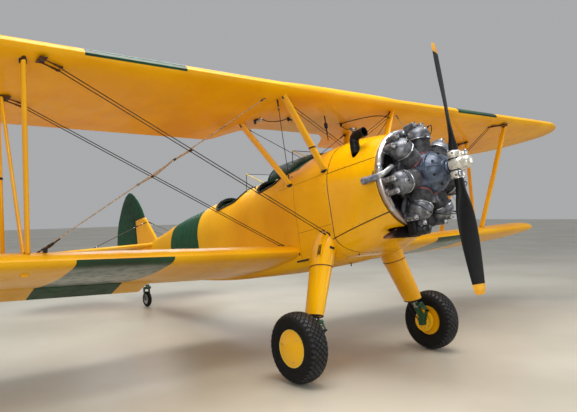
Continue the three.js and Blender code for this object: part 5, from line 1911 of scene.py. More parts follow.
pins = [
    (Vector((0.056 * math.cos(t), -0.0785, 0.056 * math.sin(t))), Vector((0, -1, 0)))
    for t in turns(8, 0.39)
]
heads("hub_bolts", pins, 0.0048, 0.008, 6, steel, "propeller", top=0.85)

# %% Blades
BLADE = [
    (0.122, 0.088, 1.0, 50), (0.16, 0.086, 0.98, 50), (0.2, 0.086, 0.86, 48), (0.25, 0.096, 0.62, 44),
    (0.31, 0.122, 0.42, 40), (0.38, 0.15, 0.28, 36), (0.46, 0.17, 0.21, 32), (0.56, 0.182, 0.17, 28),
    (0.66, 0.184, 0.14, 25), (0.76, 0.18, 0.12, 22), (0.86, 0.17, 0.105, 20), (0.95, 0.158, 0.09, 18.5),
    (1.07, 0.136, 0.08, 17), (1.11, 0.127, 0.075, 16.6), (1.135, 0.112, 0.07, 16.2),
    (1.147, 0.092, 0.07, 16), (1.153, 0.066, 0.08, 16), (1.155, 0.03, 0.12, 16),
]
TIP_FROM = 1.062


def blade_rings():
    knots = [b[0] for b in BLADE]
    spans = sorted({*np.linspace(0.122, 1.1, 36), TIP_FROM, *knots[-6:]})
    rings = []
    for r in spans:
        chord, thick, twist = (float(eased(knots, [b[c] for b in BLADE], r)) for c in (1, 2, 3))
        c, s = math.cos(math.radians(twist)), math.sin(math.radians(twist))
        ring = []
        for t in turns(36):
            u = math.cos(t)
            flat = 1.0 - 0.7 * float(smoothstep(r, 0.15, 0.3))
            along = u * chord / 2
            off = math.sin(t) * (1 - 0.35 * u * smoothstep(r, 0.2, 0.4)) * chord * thick / 2
            off *= 1.0 if math.sin(t) > 0 else (flat + 0.55 * (1 - flat))
            ring.append((-along * c + off * s, -0.01 - along * s - off * c, r))
        rings.append(ring)
    return spans, rings


spans, rings = blade_rings()
colours = []
for a, b in zip(spans, spans[1:]):
    colours += [tip_yellow if a >= TIP_FROM - 1e-6 else blade_black] * 36
blade = Piece("propeller_blade_1_detail")
blade.add(loft(rings), colours + [blade_black, tip_yellow])
other = Piece("propeller_blade_2_detail")
other.include(blade, Matrix.Rotation(math.pi, 4, "Y"))
blade.done("propeller", "black_paint", ["propeller_blade_1"], crease=30)
other.done("propeller", "black_paint", ["propeller_blade_2"], crease=30)
print("propeller sections:", len(spans))

# %% [markdown]
# ## Struts
# A streamlined strut is an oval tube, blunt in front and fine behind, so that it passes
# through the air with little drag. Cabane struts carry the upper wing over the fuselage,
# and each pair of wings is joined by a front, a rear and a diagonal strut. Steel forks
# with a bolt hold both ends.

# %% Streamlined struts


def oval(centre, chord, thick, sides=26, scale=1.0):
    x, y, z = centre
    ring = []
    for t in turns(sides):
        u = math.cos(t)
        ring.append((x + math.sin(t) * thick * (0.5 - 0.12 * u) * scale, y + u * chord * 0.5 * scale, z))
    return ring


def add_strut(piece, foot, head, chord, thick, bands=()):
    """A strut with slimmer ends, and bands at shares of its length."""
    foot, head = Vector(foot), Vector(head)
    rows = [
        oval(foot.lerp(head, s), chord, thick, scale=k)
        for s, k in ((0.0, 0.86), (0.012, 0.97), (0.03, 1.0), (0.97, 1.0), (0.988, 0.97), (1.0, 0.86))
    ]
    piece.add(loft(rows), metal_yellow)
    for share, width, finish in bands:
        half = width / 2 / (head - foot).length
        cuts = [(share - half, 1.0), (share - half, 1.035), (share + half, 1.035), (share + half, 1.0)]
        size = chord + 0.003, thick + 0.003
        piece.add(loft([oval(foot.lerp(head, s), *size, scale=k) for s, k in cuts]), finish)


def add_fitting(piece, at, way, width, sideways=PORT):
    """Steel fork over a strut's end, with its cross bolt."""
    at, way, across = Vector(at), Vector(way).normalized(), Vector(sideways).normalized()
    for side in (-1, 1):
        start = at + across * side * width / 2
        piece.add(tube([start - way * 0.01, start + way * 0.055], [0.01, 0.006], 10), dark_steel)
    bolt, reach = at + way * 0.018, across * (width / 2 + 0.012)
    piece.add(tube([bolt - reach, bolt + reach], 0.006, 8), steel)


SPAR_FRONT, SPAR_REAR = 0.09 * CHORD, 0.595 * CHORD


def chord_line(wing, x, along):
    """Level y and z of the chord line at a span station."""
    return wing["lead"] + along, rise_of(wing, x) - along * math.tan(wing["lean"])


CABANES = {
    "cabane_front": ((0.386, 1.232, 0.2), (0.817, UPPER["lead"] + SPAR_FRONT, 1.04)),
    "cabane_rear": ((0.38, 1.797, 0.205), (0.817, UPPER["lead"] + SPAR_REAR, 0.985)),
}
for name, (foot, head) in CABANES.items():
    piece = Piece(name + "_left_detail")
    bands = [(0.345, 0.014, dark_steel)] if name == "cabane_front" else []
    add_strut(piece, foot, head, 0.092, 0.042, bands)
    way = (Vector(head) - Vector(foot)).normalized()
    seat_z = 0.245 if name == "cabane_front" else 0.235
    low = Vector(foot).lerp(Vector(head), (seat_z - foot[2]) / (head[2] - foot[2]))
    collar = [
        oval(low + way * d, 0.092 + g, 0.042 + g)
        for d, g in ((-0.03, 0.03), (0.004, 0.028), (0.016, 0.016), (0.02, 0.002))
    ]
    piece.add(loft(collar), dark_steel)
    top = Vector(head) - way * 0.055
    add_fitting(piece, top, way, 0.044)
    pair(piece, "airframe", "yellow_metal", [name + "_left"])

HEAD_X, FOOT_X = 3.244, TIE_DOWN_X
INTERPLANES = [
    ("front", SPAR_FRONT, 0.0, SPAR_FRONT, 0.0, 0.084, 0.036),
    ("rear", SPAR_REAR, 0.0, SPAR_REAR, 0.0, 0.084, 0.036),
    ("diagonal", SPAR_REAR, -0.105, SPAR_FRONT, 0.1, 0.062, 0.028),
]
for name, up, up_aft, down, down_aft, chord, thick in INTERPLANES:
    y0, z0 = chord_line(LOWER, FOOT_X, down + down_aft)
    y1, z1 = chord_line(UPPER, HEAD_X, up + up_aft)
    foot, head = Vector((FOOT_X, y0, z0 + 0.052)), Vector((HEAD_X, y1, z1 - 0.04))
    piece = Piece(f"strut_{name}_left_detail")
    bands = [(0.56, 0.02, dark_steel)] if name == "rear" else []
    add_strut(piece, foot, head, chord, thick, bands)
    way = (head - foot).normalized()
    for at, direction in ((foot - way * 0.006, way), (head + way * 0.006, -way)):
        add_fitting(piece, at, direction, thick + 0.006)
        cuff = [
            oval(at + direction * d, chord * k, thick * k)
            for d, k in ((0.0, 0.9), (0.004, 1.06), (0.034, 1.05), (0.04, 0.98))
        ]
        piece.add(loft(cuff), bronze)
    pair(piece, "airframe", "yellow_metal", [f"strut_{name}_left"])
print("struts:", 2 * (len(CABANES) + len(INTERPLANES)))

# %% [markdown]
# ## Rigging
# The flying wires run in pairs from the fuselage out to the upper wing and carry the lift;
# one landing wire for each spar runs the other way. They are rolled steel blades with a
# threaded end, a lock nut and a fork. Where they cross, a rod keeps them from drumming.

# %% Wires
wire_dark = plain("wire_dark", rgb(70, 52, 42), rgb(42, 31, 25), 0.42, 0.5, 240, 0.0001)


def add_wire(piece, start, end, radius=0.0042, finish=None, terminal=True):
    """A taut wire with its threaded ends and nuts."""
    start, end = Vector(start), Vector(end)
    way = (end - start).normalized()
    piece.add(tube([start, end], radius, 8), finish or wire_dark)
    if terminal:
        for at, inward in ((start, way), (end, -way)):
            sleeve = [at + inward * run for run in (0.0, 0.05, 0.11, 0.125)]
            piece.add(tube(sleeve, [0.0095, 0.008, 0.007, radius], 10), wire_dark)
            nut = [(0, 0), (0.0105, 0), (0.0105, 0.01), (0, 0.01)]
            piece.add(turned(nut, 6, at + inward * 0.075, inward), steel)


FLY_FRONT = ((0.46, 1.258, -0.401), (3.15, UPPER["lead"] + SPAR_FRONT + 0.074, 1.116))
FLY_REAR = ((0.455, 1.93, -0.44), (3.15, UPPER["lead"] + SPAR_REAR + 0.09, 1.052))
LAND_FRONT = (
    (0.928, UPPER["lead"] + SPAR_FRONT + 0.0665, 1.03), (3.09, LOWER["lead"] + SPAR_FRONT + 0.049, -0.347)
)
LAND_REAR = (
    (0.93, UPPER["lead"] + SPAR_REAR + 0.067, 0.985), (3.095, LOWER["lead"] + SPAR_REAR + 0.05, -0.391)
)


def crossing(fly, land):
    """Where the two wires pass each other, seen from ahead, and their fore-and-aft places."""
    (fx, fy, fz), (gx, gy, gz) = fly
    (lx, ly, lz), (mx, my, mz) = land
    fly_slope, land_slope = (gz - fz) / (gx - fx), (mz - lz) / (mx - lx)
    x = (lz - fz + fly_slope * fx - land_slope * lx) / (fly_slope - land_slope)
    at_fly, at_land = fy + (gy - fy) * (x - fx) / (gx - fx), ly + (my - ly) * (x - lx) / (mx - lx)
    return x, fz + fly_slope * (x - fx), at_fly, at_land


rigging = Piece("rigging_left_detail")
for wire in (FLY_FRONT, FLY_REAR):
    for aft in (-0.024, 0.024):
        ends = [Vector(p) + Vector((0, aft, 0)) for p in wire]
        add_wire(rigging, *ends)
for wire in (LAND_FRONT, LAND_REAR):
    add_wire(rigging, *wire, radius=0.005, finish=tan_steel)
front, back = crossing(FLY_FRONT, LAND_FRONT), crossing(FLY_REAR, LAND_REAR)
rod = [
    (front[0], min(front[2:]) - 0.05, front[1]), (front[0], max(front[2:]) + 0.06, front[1]),
    (back[0], min(back[2:]) - 0.06, back[1]), (back[0], max(back[2:]) + 0.05, back[1]),
]
rigging.add(tube(rod, [0.006, 0.0085, 0.0085, 0.006], 10), tan_steel)
for x, z, ys in ((front[0], front[1], front[2:]), (back[0], back[1], back[2:])):
    for y in ys:
        rigging.add(block((0.018, 0.056, 0.018), (x, y, z), edge=0.004), dark_steel)
for x, y, z in (FLY_FRONT[1], FLY_REAR[1]):
    rigging.add(block((0.09, 0.075, 0.006), (x + 0.01, y, z - 0.004), edge=0.002), metal_yellow)
for x, y, z in (LAND_FRONT[1], LAND_REAR[1]):
    rigging.add(block((0.07, 0.05, 0.006), (x, y, z + 0.018), edge=0.002), metal_yellow)
rigging.add(block((0.016, 0.07, 0.03), (0.47, 1.258, -0.4), edge=0.004), dark_steel)
rigging.add(block((0.02, 0.085, 0.05), (0.462, 1.93, -0.43), edge=0.004), dark_steel)
for x, ys, z in ((2.965, (1.27, 1.333), 1.006), (3.045, (1.985, 2.045), 0.955)):
    for y in ys:
        start, end = Vector((x, y, z)), Vector((x + 0.165, y - 0.1, z + 0.004))
        path = [start, start.lerp(end, 0.35), start.lerp(end, 0.4), end]
        rigging.add(tube(path, [0.0085, 0.0085, 0.006, 0.005], 10), bronze)
        rigging.add(block((0.03, 0.022, 0.014), start, edge=0.003), bronze)
    rigging.add(
        block((0.06, 0.12, 0.006), (x + 0.16, (ys[0] + ys[1]) / 2 - 0.1, z + 0.008), edge=0.002), bronze
    )
pair(rigging, "airframe", "wire_steel", ["rigging_left"])

# %% [markdown]
# Short wires brace the four cabane struts: one on each side from the front head to the
# rear foot, and a cross from side to side in front and behind.

# %% Centre-section wires and fuel gauge
bracing = Piece("cabane_wires")
front_head, rear_head = Vector((0.785, 1.262, 0.985)), Vector((0.775, 2.03, 0.958))
front_foot, rear_foot = Vector((0.425, 1.25, 0.285)), Vector((0.405, 1.81, 0.262))
side_head, cross_foot = Vector((0.848, 1.29, 0.985)), Vector((-0.372, 1.81, 0.33))


def other_side(p):
    return Vector((-p.x, p.y, p.z))


for a, b in ((side_head, rear_foot), (front_head, other_side(front_foot)), (rear_head, cross_foot)):
    for flip in (1, -1):
        ends = [Vector((p.x * flip, p.y + (0.006 if flip < 0 else -0.006), p.z)) for p in (a, b)]
        add_wire(bracing, *ends, radius=0.0034)
        if b.x < 0 and a.y < 1.5:
            twin = [p + Vector((0, 0.004, -0.034)) for p in ends]
            add_wire(bracing, *twin, radius=0.003, finish=bronze, terminal=False)
bracing.done("airframe", "wire_steel")

gauge = Piece("fuel_gauge")
GAUGE = Vector((0.0, 1.535, 0.0))
housing = [
    (0, 0.012), (0.0095, 0.011), (0.017, 0.004), (0.0195, 0.0), (0.0195, -0.046), (0.015, -0.054),
    (0.009, -0.058), (0, -0.058),
]
profile = [(0, 0.014), (0.03, 0.012), (0.032, 0.0), (0.012, -0.01), (0, -0.01)]
gauge.add(turned(profile, 24, GAUGE + Vector((0, 0, 1.008)), UP), bronze)
gauge.add(tube([GAUGE + Vector((0, 0, z)) for z in (1.005, 0.885)], 0.008, 14), bronze)
gauge.add(turned(housing, 24, GAUGE + Vector((0, 0, 0.885)), UP), dark_steel)
gauge.add(
    tube(
        [GAUGE + Vector((0, 0, z)) for z in (0.83, 0.77, 0.765, 0.69)], [0.0078, 0.0078, 0.005, 0.005], 12
    ),
    wire_dark,
)
gauge.add(tube([GAUGE + Vector((0.012, 0, z)) for z in (0.882, 0.842)], 0.0095, 8), cast_light)
for side in (-1, 1):
    valve = Vector((side * 0.7, 1.8, 0.978))
    profile = [(0, 0.01), (0.034, 0.008), (0.036, 0.0), (0.03, -0.024), (0.018, -0.042), (0, -0.044)]
    gauge.add(turned(profile, 20, valve, UP), steel)
    gauge.add(
        block((0.075, 0.018, 0.018), valve + Vector((side * 0.02, 0, -0.012)), edge=0.004), dark_steel
    )
    gauge.add(block((0.02, 0.06, 0.018), valve + Vector((side * 0.02, 0.01, -0.016)), edge=0.004), steel)
    profile = [(0, 0.0), (0.013, 0.0), (0.015, -0.006), (0.015, -0.05), (0.009, -0.06), (0, -0.06)]
    gauge.add(turned(profile, 16, valve + Vector((side * 0.045, 0.035, 0.0)), UP), dark_steel)
    profile = [(0, 0.0), (0.01, 0.0), (0.01, -0.045), (0, -0.045)]
    gauge.add(turned(profile, 6, valve + Vector((side * 0.03, -0.035, 0.005)), UP), steel)
    line = [
        valve + Vector((-side * 0.03, 0, -0.012)), (side * 0.6, 1.79, 0.945), (side * 0.48, 1.74, 0.944),
        (side * 0.4, 1.69, 0.962),
    ]
    gauge.add(tube(smooth_path(line, 6), 0.005, 8), bronze)
    joint = Vector((side * 0.4, 1.69, 0.962))
    profile = [(0, 0.045), (0.014, 0.044), (0.017, 0.01), (0.012, -0.014), (0.012, -0.03), (0, -0.032)]
    gauge.add(turned(profile, 16, joint, UP), dark_steel)
    gauge.add(tube([joint, joint + Vector((side * -0.03, -0.022, -0.026))], 0.01, 12), dark_steel)
    fuel = [
        (side * 0.4, 1.69, 0.964), (side * 0.44, 1.5, 0.955), (side * 0.6, 1.3, 0.95),
        (side * 0.74, 1.226, 0.9), (side * 0.66, 1.222, 0.74), (side * 0.44, 1.222, 0.34),
    ]
    if side > 0:
        gauge.add(tube(smooth_path(fuel, 6), 0.0055, 8), dark_steel)
gauge.done("airframe", "wire_steel")

pitot = Piece("pitot_tube")
path = [(-3.0, 1.9, -0.3), (-3.0, 1.66, -0.287), (-3.0, 1.655, -0.287), (-3.0, 1.5, -0.277)]
pitot.add(tube(path, [0.0115, 0.0115, 0.007, 0.0055], 14), dark_steel)
pitot.add(block((0.02, 0.07, 0.036), (-3.0, 1.865, -0.312), edge=0.004), dark_steel)
pitot.add(tube([(-3.0, 1.74, -0.291), (-3.0, 1.78, -0.293)], 0.0145, 14), bronze)
pitot.done("airframe", "wire_steel")

# %% [markdown]
# ## Main gear
# Each leg is a thick faired tube that leans outwards from the fuselage. A black rubber ring
# marks the joint between its upper and lower fairing. From its foot comes the shock
# strut with the axle, kept in line by a pair of torque links.

# %% Leg fairings
LEG_Z = [-1.16, -1.14, -0.69, -0.52, -0.33]
LEG_X = [0.738, 0.73, 0.543, 0.47, 0.38]
LEG_Y = [1.338, 1.338, 1.35, 1.35, 1.35]
LEG_CHORD = [0.236, 0.252, 0.3, 0.33, 0.3]
LEG_THICK = [0.106, 0.116, 0.15, 0.17, 0.13]


def on_leg(z, t, grow=0.0):
    """Place on the fairing at a height and an angle round it."""
    x, y, chord, thick = (
        float(np.interp(z, LEG_Z, column))
        for column in (LEG_X, LEG_Y, LEG_CHORD, LEG_THICK)
    )
    u, across = math.cos(t), math.sin(t) * (thick + grow)
    return Vector((x + across * (0.5 - 0.14 * u), y + (chord + grow) * (0.5 * u + 0.06), z + across * 0.2))


def leg_ring(z, grow=0.0, sides=44):
    return [on_leg(z, t, grow) for t in turns(sides)]


leg = Piece("gear_leg_left_detail")
upper_part = [leg_ring(z) for z in (-0.7, -0.684, -0.66, -0.62, -0.57, -0.52, -0.47, -0.42, -0.37, -0.33)]
lower_part = [
    leg_ring(-1.16, -0.006), leg_ring(-1.158),
    *[leg_ring(z, -0.004) for z in (-1.15, -1.1, -1.0, -0.9, -0.8, -0.74, -0.7, -0.66)],
]
leg.add(loft(lower_part), metal_yellow)
leg.add(loft(upper_part), metal_yellow)
SEAL = [(-0.7045, -0.004), (-0.704, 0.003), (-0.7, 0.005), (-0.696, 0.003), (-0.6955, -0.004)]
BOOT = [
    (-1.1595, -0.02), (-1.164, -0.02), (-1.166, -0.012), (-1.16, 0.002), (-1.152, 0.003), (-1.15, -0.004)
]
for rows, finish in ((SEAL, seal_brown), (BOOT, black_rubber)):
    leg.add(loft([leg_ring(z, grow) for z, grow in rows]), finish)


def plate_on_leg(z, t, wide, tall, finish):
    """Thin plate that lies on the fairing, upright along the leg."""
    at = on_leg(z, t, 0.0015)
    up = (on_leg(z + 0.05, t) - on_leg(z - 0.05, t)).normalized()
    along = (on_leg(z, t + 0.05) - on_leg(z, t - 0.05)).normalized()
    out = along.cross(up).normalized()
    along = up.cross(out).normalized()
    points, faces = block((wide, 0.005, tall), (0, 0, 0), edge=0.0015)
    frame_turn = Matrix((along, out, up)).transposed()
    leg.add(([at + frame_turn @ Vector(p) for p in points], faces), finish)


plate_on_leg(-0.56, 1.95, 0.084, 0.122, metal_yellow)
plate_on_leg(-0.56, 1.95, 0.05, 0.106, black_rubber)
plate_on_leg(-0.535, 2.95, 0.05, 0.024, black_rubber)
# Dark strip below the pale step tube at the wing root: a painted shadow.
leg.add(block((0.01, 0.19, 0.02), (0.45, 1.725, -0.59), edge=0.004), black_rubber)
path = [(0.455, 1.64, -0.572), (0.455, 1.6, -0.566), (0.448, 1.56, -0.57)]
leg.add(tube(path, 0.01, 12), metal_yellow)
path = [(0.462, 1.8, -0.47), (0.468, 1.765, -0.48), (0.468, 1.748, -0.505), (0.46, 1.745, -0.53)]
leg.add(tube(smooth_path(path, 4), 0.0075, 12), bronze)
pair(leg, "airframe", "yellow_metal", ["gear_leg_left"])
leg_screws = []
for side in (-1, 1):
    for t in turns(18):
        for z in (-0.672, -0.728):
            p, q = on_leg(z, t, -0.002), on_leg(z, t, 0.02)
            leg_screws.append(((p.x * side, p.y, p.z), ((q - p).x * side, (q - p).y, (q - p).z)))
heads("leg_screws", leg_screws, 0.0042, 0.003, 8, metal_yellow, "airframe")

# %% Shock strut, torque links and brake
AXLE = Vector(WHEEL_AXLE)
AXLE_Y, AXLE_Z = WHEEL_AXLE[1:]
green_paint = coated("green_paint", rgb(40, 82, 52), rgb(22, 52, 34), 0.42, 0.2)
knuckle = Piece("gear_knuckle_left_detail")
oleo_top, oleo_foot = Vector((0.718, 1.337, -1.13)), Vector((0.834, 1.337, -1.385))
knuckle.add(tube([oleo_top, oleo_top.lerp(oleo_foot, 0.52)], 0.03, 28), steel)
knuckle.add(
    tube(
        [oleo_top.lerp(oleo_foot, s) for s in (0.42, 0.45, 0.52, 0.56, 1.0)],
        [0.031, 0.036, 0.036, 0.034, 0.034], 28,
    ),
    green_paint,
)
knuckle.add(block((0.076, 0.078, 0.09), (0.83, AXLE_Y, -1.407), edge=0.016, steps=4), green_paint)
knuckle.add(tube([(0.8, AXLE_Y, AXLE_Z), (1.05, AXLE_Y, AXLE_Z)], 0.0238, 28), steel)
disc = [
    (0.024, 0.842), (0.06, 0.842), (0.064, 0.846), (0.096, 0.846), (0.1, 0.843), (0.116, 0.844),
    (0.118, 0.85), (0.118, 0.866), (0.112, 0.868), (0.024, 0.868),
]
knuckle.add(turned(disc, 64, (0, AXLE_Y, AXLE_Z), PORT, loop=True), metal_yellow)


def link_arm(a, b, wide_a, wide_b):
    """Torque link: two tapered cheeks joined by their pins."""
    a, b = Vector(a), Vector(b)
    for side in (-1, 1):
        shift_a, shift_b = Vector((side * wide_a / 2, 0, 0)), Vector((side * wide_b / 2, 0, 0))
        knuckle.add(tube([a + shift_a, b + shift_b], [0.0105, 0.0085], 12), green_paint)
    for p, w in ((a, wide_a), (b, wide_b)):
        reach = Vector((w / 2 + 0.012, 0, 0))
        knuckle.add(tube([p - reach, p + reach], 0.0095, 12), dark_steel)
    middle, reach = a.lerp(b, 0.45), Vector(((wide_a + wide_b) / 4, 0, 0))
    knuckle.add(tube([middle - reach, middle + reach], 0.006, 8), green_paint)


link_arm((0.746, 1.262, -1.212), (0.762, 1.197, -1.292), 0.056, 0.03)
link_arm((0.802, 1.296, -1.386), (0.762, 1.197, -1.292), 0.056, 0.03)
knuckle.add(block((0.056, 0.075, 0.04), (0.748, 1.278, -1.212), edge=0.009), green_paint)
knuckle.add(tube([(0.722, 1.337, -1.158), (0.732, 1.337, -1.18)], 0.04, 28), black_rubber)
knuckle.add(block((0.06, 0.05, 0.032), (0.803, 1.3, -1.386), edge=0.008), green_paint)
hose = [
    (0.728, 1.4, -1.168), (0.74, 1.42, -1.22), (0.79, 1.424, -1.3), (0.832, 1.418, -1.36),
    (0.848, 1.4, -1.39),
]
knuckle.add(tube(smooth_path(hose, 6), 0.006, 10), black_rubber)
pair(knuckle, "airframe", "green_metal", ["gear_knuckle_left"])
brake_bolts = []
for side in (-1, 1):
    for t in turns(10, 0.2):
        place = (side * 0.845, AXLE_Y + 0.08 * math.cos(t), AXLE_Z + 0.08 * math.sin(t))
        brake_bolts.append((place, (-side, 0, 0)))
heads("brake_bolts", brake_bolts, 0.0062, 0.008, 6, steel, "airframe", top=0.9)

# %% [markdown]
# ## Tyres
# The tyres are fat low-pressure ones with a tread of small diamonds. Modelling the tread by
# hand would take hundreds of copies, so a node tree takes one slice of it and repeats
# the slice round the axle. The tyre's carcass is a turned profile a little below it.

# %% A tree that repeats a slice round an axle


def around_tree():
    tree, start, end = tree_with(
        "slices_round_axle",
        [("Count", "NodeSocketInt"), ("Hub", "NodeSocketVector"), ("Finish", "NodeSocketMaterial")],
    )
    line = tree.nodes.new("GeometryNodeMeshLine")
    line.inputs["Offset"].default_value = (0, 0, 0)
    index = tree.nodes.new("GeometryNodeInputIndex")
    share = tree.nodes.new("ShaderNodeMath")
    share.operation = "DIVIDE"
    angle = tree.nodes.new("ShaderNodeMath")
    angle.operation = "MULTIPLY"
    angle.inputs[1].default_value = 2 * math.pi
    turn_by = tree.nodes.new("ShaderNodeCombineXYZ")
    place = tree.nodes.new("GeometryNodeInstanceOnPoints")
    real = tree.nodes.new("GeometryNodeRealizeInstances")
    shift = tree.nodes.new("GeometryNodeTransform")
    colour = tree.nodes.new("GeometryNodeSetMaterial")
    link_rows(tree, [
        (start, "Count", line, "Count"),
        (index, 0, share, 0),
        (start, "Count", share, 1),
        (share, 0, angle, 0),
        (angle, 0, turn_by, 0),
        (line, "Mesh", place, "Points"),
        (start, "Geometry", place, "Instance"),
        (turn_by, 0, place, "Rotation"),
        (place, "Instances", shift, "Geometry"),
        (start, "Hub", shift, "Translation"),
        (shift, "Geometry", real, "Geometry"),
        (real, "Geometry", colour, "Geometry"),
        (start, "Finish", colour, "Material"),
        (colour, "Geometry", end, "Geometry"),
    ])
    return tree


AROUND = around_tree()


def repeated(name, shape, count, hub, finish, body):
    """One slice, drawn about the x axis at the origin, repeated round a hub."""
    data = bpy.data.meshes.new(name)
    data.from_pydata([tuple(p) for p in shape[0]], [], shape[1])
    data.materials.append(finish)
    made = placed(name, data)
    run_tree(made, AROUND, {"Count": count, "Hub": tuple(standing([hub])[0]), "Finish": finish})
    return settle(plain_mesh(made), body)


# %% Tyres and wheels
TYRE_SIDE = [
    (0.161, 0.062), (0.168, 0.077), (0.182, 0.092), (0.21, 0.1055), (0.236, 0.112), (0.262, 0.1125),
    (0.282, 0.103), (0.298, 0.088), (0.309, 0.07), (0.3155, 0.048), (0.319, 0.024), (0.32, 0.0),
]
TREAD = 0.0068


def tyre_radius(x):
    """Carcass radius at a distance from the middle plane."""
    crown = [(abs(w), r) for r, w in TYRE_SIDE if r > 0.27]
    return float(np.interp(abs(x), *zip(*sorted(crown))))


def diamond(x, turn_by, half_x, half_run):
    """Low four-sided stud on the tyre at an angle from the slice's middle."""
    r = tyre_radius(x)
    points = []
    for reach, lift in ((1.0, -0.001), (0.8, TREAD)):
        for dx, dt in ((-1, 0), (0, -1), (1, 0), (0, 1)):
            at = x + dx * half_x * reach
            t = turn_by + dt * half_run * reach / r
            radius = tyre_radius(at) + lift * (
                1.0 if lift < 0 else min(1.0, (0.327 - tyre_radius(at)) / TREAD)
            )
            points.append((at, radius * math.cos(t), radius * math.sin(t)))
    faces = [(k, (k + 1) % 4, 4 + (k + 1) % 4, 4 + k) for k in range(4)] + [(4, 5, 6, 7)]
    return points, faces


SLICES = 38
slice_angle = 2 * math.pi / SLICES
points, faces = [], []
for row in range(-3, 4):
    shape = diamond(row * 0.0262, slice_angle / 2 if row % 2 else 0.0, 0.024, 0.0245)
    faces += [tuple(len(points) + k for k in f) for f in shape[1]]
    points += shape[0]
tread_slice = (points, faces)


def smooth_profile(table, steps):
    """A profile with extra points on a curve through the given ones."""
    path = smooth_path([(r, x, 0) for r, x in table], steps)
    return [(p[0], p[1]) for p in path]


fine_side = smooth_profile(TYRE_SIDE, 3)
tyre_profile = [(r, -x) for r, x in fine_side] + [(r, x) for r, x in fine_side[-2::-1]]
tyre = Piece("tyre_left_detail")
tyre.add(turned(tyre_profile, 96, AXLE, PORT, loop=True), tyre_black)
for r, x in ((0.205, 0.1045), (0.266, 0.1115)):
    for side in (-1, 1):
        bead = [(AXLE.x + side * x, AXLE.y + r * math.cos(t), AXLE.z + r * math.sin(t)) for t in turns(96)]
        tyre.add(tube(bead, 0.0022, 6, loop=True), tyre_black)
pair(tyre, "wheel_left", "tyre", ["tyre_left"])
for side, body_name in ((1, "wheel_left"), (-1, "wheel_right")):
    hub_at = (side * AXLE.x, AXLE.y, AXLE.z)
    # The studs are paler than the carcass: painted highlight on them, painted shade between them.
    repeated(f"tread_{body_name}", tread_slice, SLICES, hub_at, tread_rubber, body_name)

wheel = Piece("wheel_left_detail")
outer_face = [
    (0, 0.108), (0.05, 0.106), (0.1, 0.1), (0.14, 0.093), (0.16, 0.0885), (0.17, 0.0865), (0.1735, 0.082),
    (0.172, 0.076), (0.164, 0.074), (0.158, 0.066), (0.1605, 0.06),
]
inner_face = [
    (0.1605, -0.06), (0.156, -0.064), (0.148, -0.063), (0.142, -0.056), (0.125, -0.053), (0.084, -0.056),
    (0.076, -0.066), (0.07, -0.0735), (0.03, -0.0735), (0.0244, -0.07),
]
wheel.add(turned(outer_face + inner_face + [(0.0244, 0.074), (0, 0.074)], 72, AXLE, PORT), metal_yellow)
for t in turns(3, 0.4):
    at = AXLE + Vector((0.0965, 0.122 * math.cos(t), 0.122 * math.sin(t)))
    wheel.add(turned([(0, 0.004), (0.006, 0.0035), (0.0075, 0.0), (0, 0)], 14, at, PORT), steel)
# A pale ring on the disc's rolled edge: a painted highlight.
edge_highlight_ring = [AXLE + Vector((0.0862, 0.17 * math.cos(t), 0.17 * math.sin(t))) for t in turns(72)]
wheel.add(tube(edge_highlight_ring, 0.0042, 8, loop=True), frame_yellow)
valve = AXLE + Vector((0.086, 0.0, -0.1785))
path = [valve + Vector((-0.01, 0, 0)), valve + Vector((0.014, 0, 0.004))]
wheel.add(tube(path, 0.0042, 10), black_rubber)
pair(wheel, "wheel_left", "yellow_metal", ["wheel_left"])
print("tread studs on each tyre:", SLICES * 7)

# %% [markdown]
# ## Inside the cockpits
# Each cockpit has a black panel with round dials, a stick, rudder pedals and a throttle
# box. A dial is a bezel, a face, a ring of ticks, plain numbers and a pointer, all made
# by one function from a place and a radius. The numbers are text turned into a mesh.

# %% Instrument panels
PANELS = {"front": 1.985, "rear": 2.868}
PANEL_FOOT, PANEL_DEPTH = 0.11, 0.014
dial_black = plain("dial_black", rgb(26, 26, 28), rgb(14, 14, 15), 0.5, 0.0, 200, 0.0001)


def panel_outline(y):
    """Points in x and z: a straight foot and the inside of the body above it."""
    ring = [(x, z) for x, _, z in body_ring(y, WALL + 0.003) if z > PANEL_FOOT + 0.004]
    return [(ring[-1][0], PANEL_FOOT), (ring[0][0], PANEL_FOOT), *ring]


def number_shape(text, size, at):
    """A plain number that faces aft, about a given point."""
    curve = bpy.data.curves.new("number", "FONT")
    curve.body, curve.size, curve.align_x, curve.align_y = text, size, "CENTER", "CENTER"
    curve.extrude, curve.resolution_u = 0.0002, 2
    holder = placed("number", curve)
    bpy.context.view_layer.update()
    flat = bpy.data.meshes.new_from_object(holder.evaluated_get(bpy.context.evaluated_depsgraph_get()))
    points = [at + Vector((-v.co.x, v.co.z, v.co.y)) for v in flat.vertices]
    faces = [tuple(p.vertices) for p in flat.polygons]
    bpy.data.objects.remove(holder)
    return points, faces


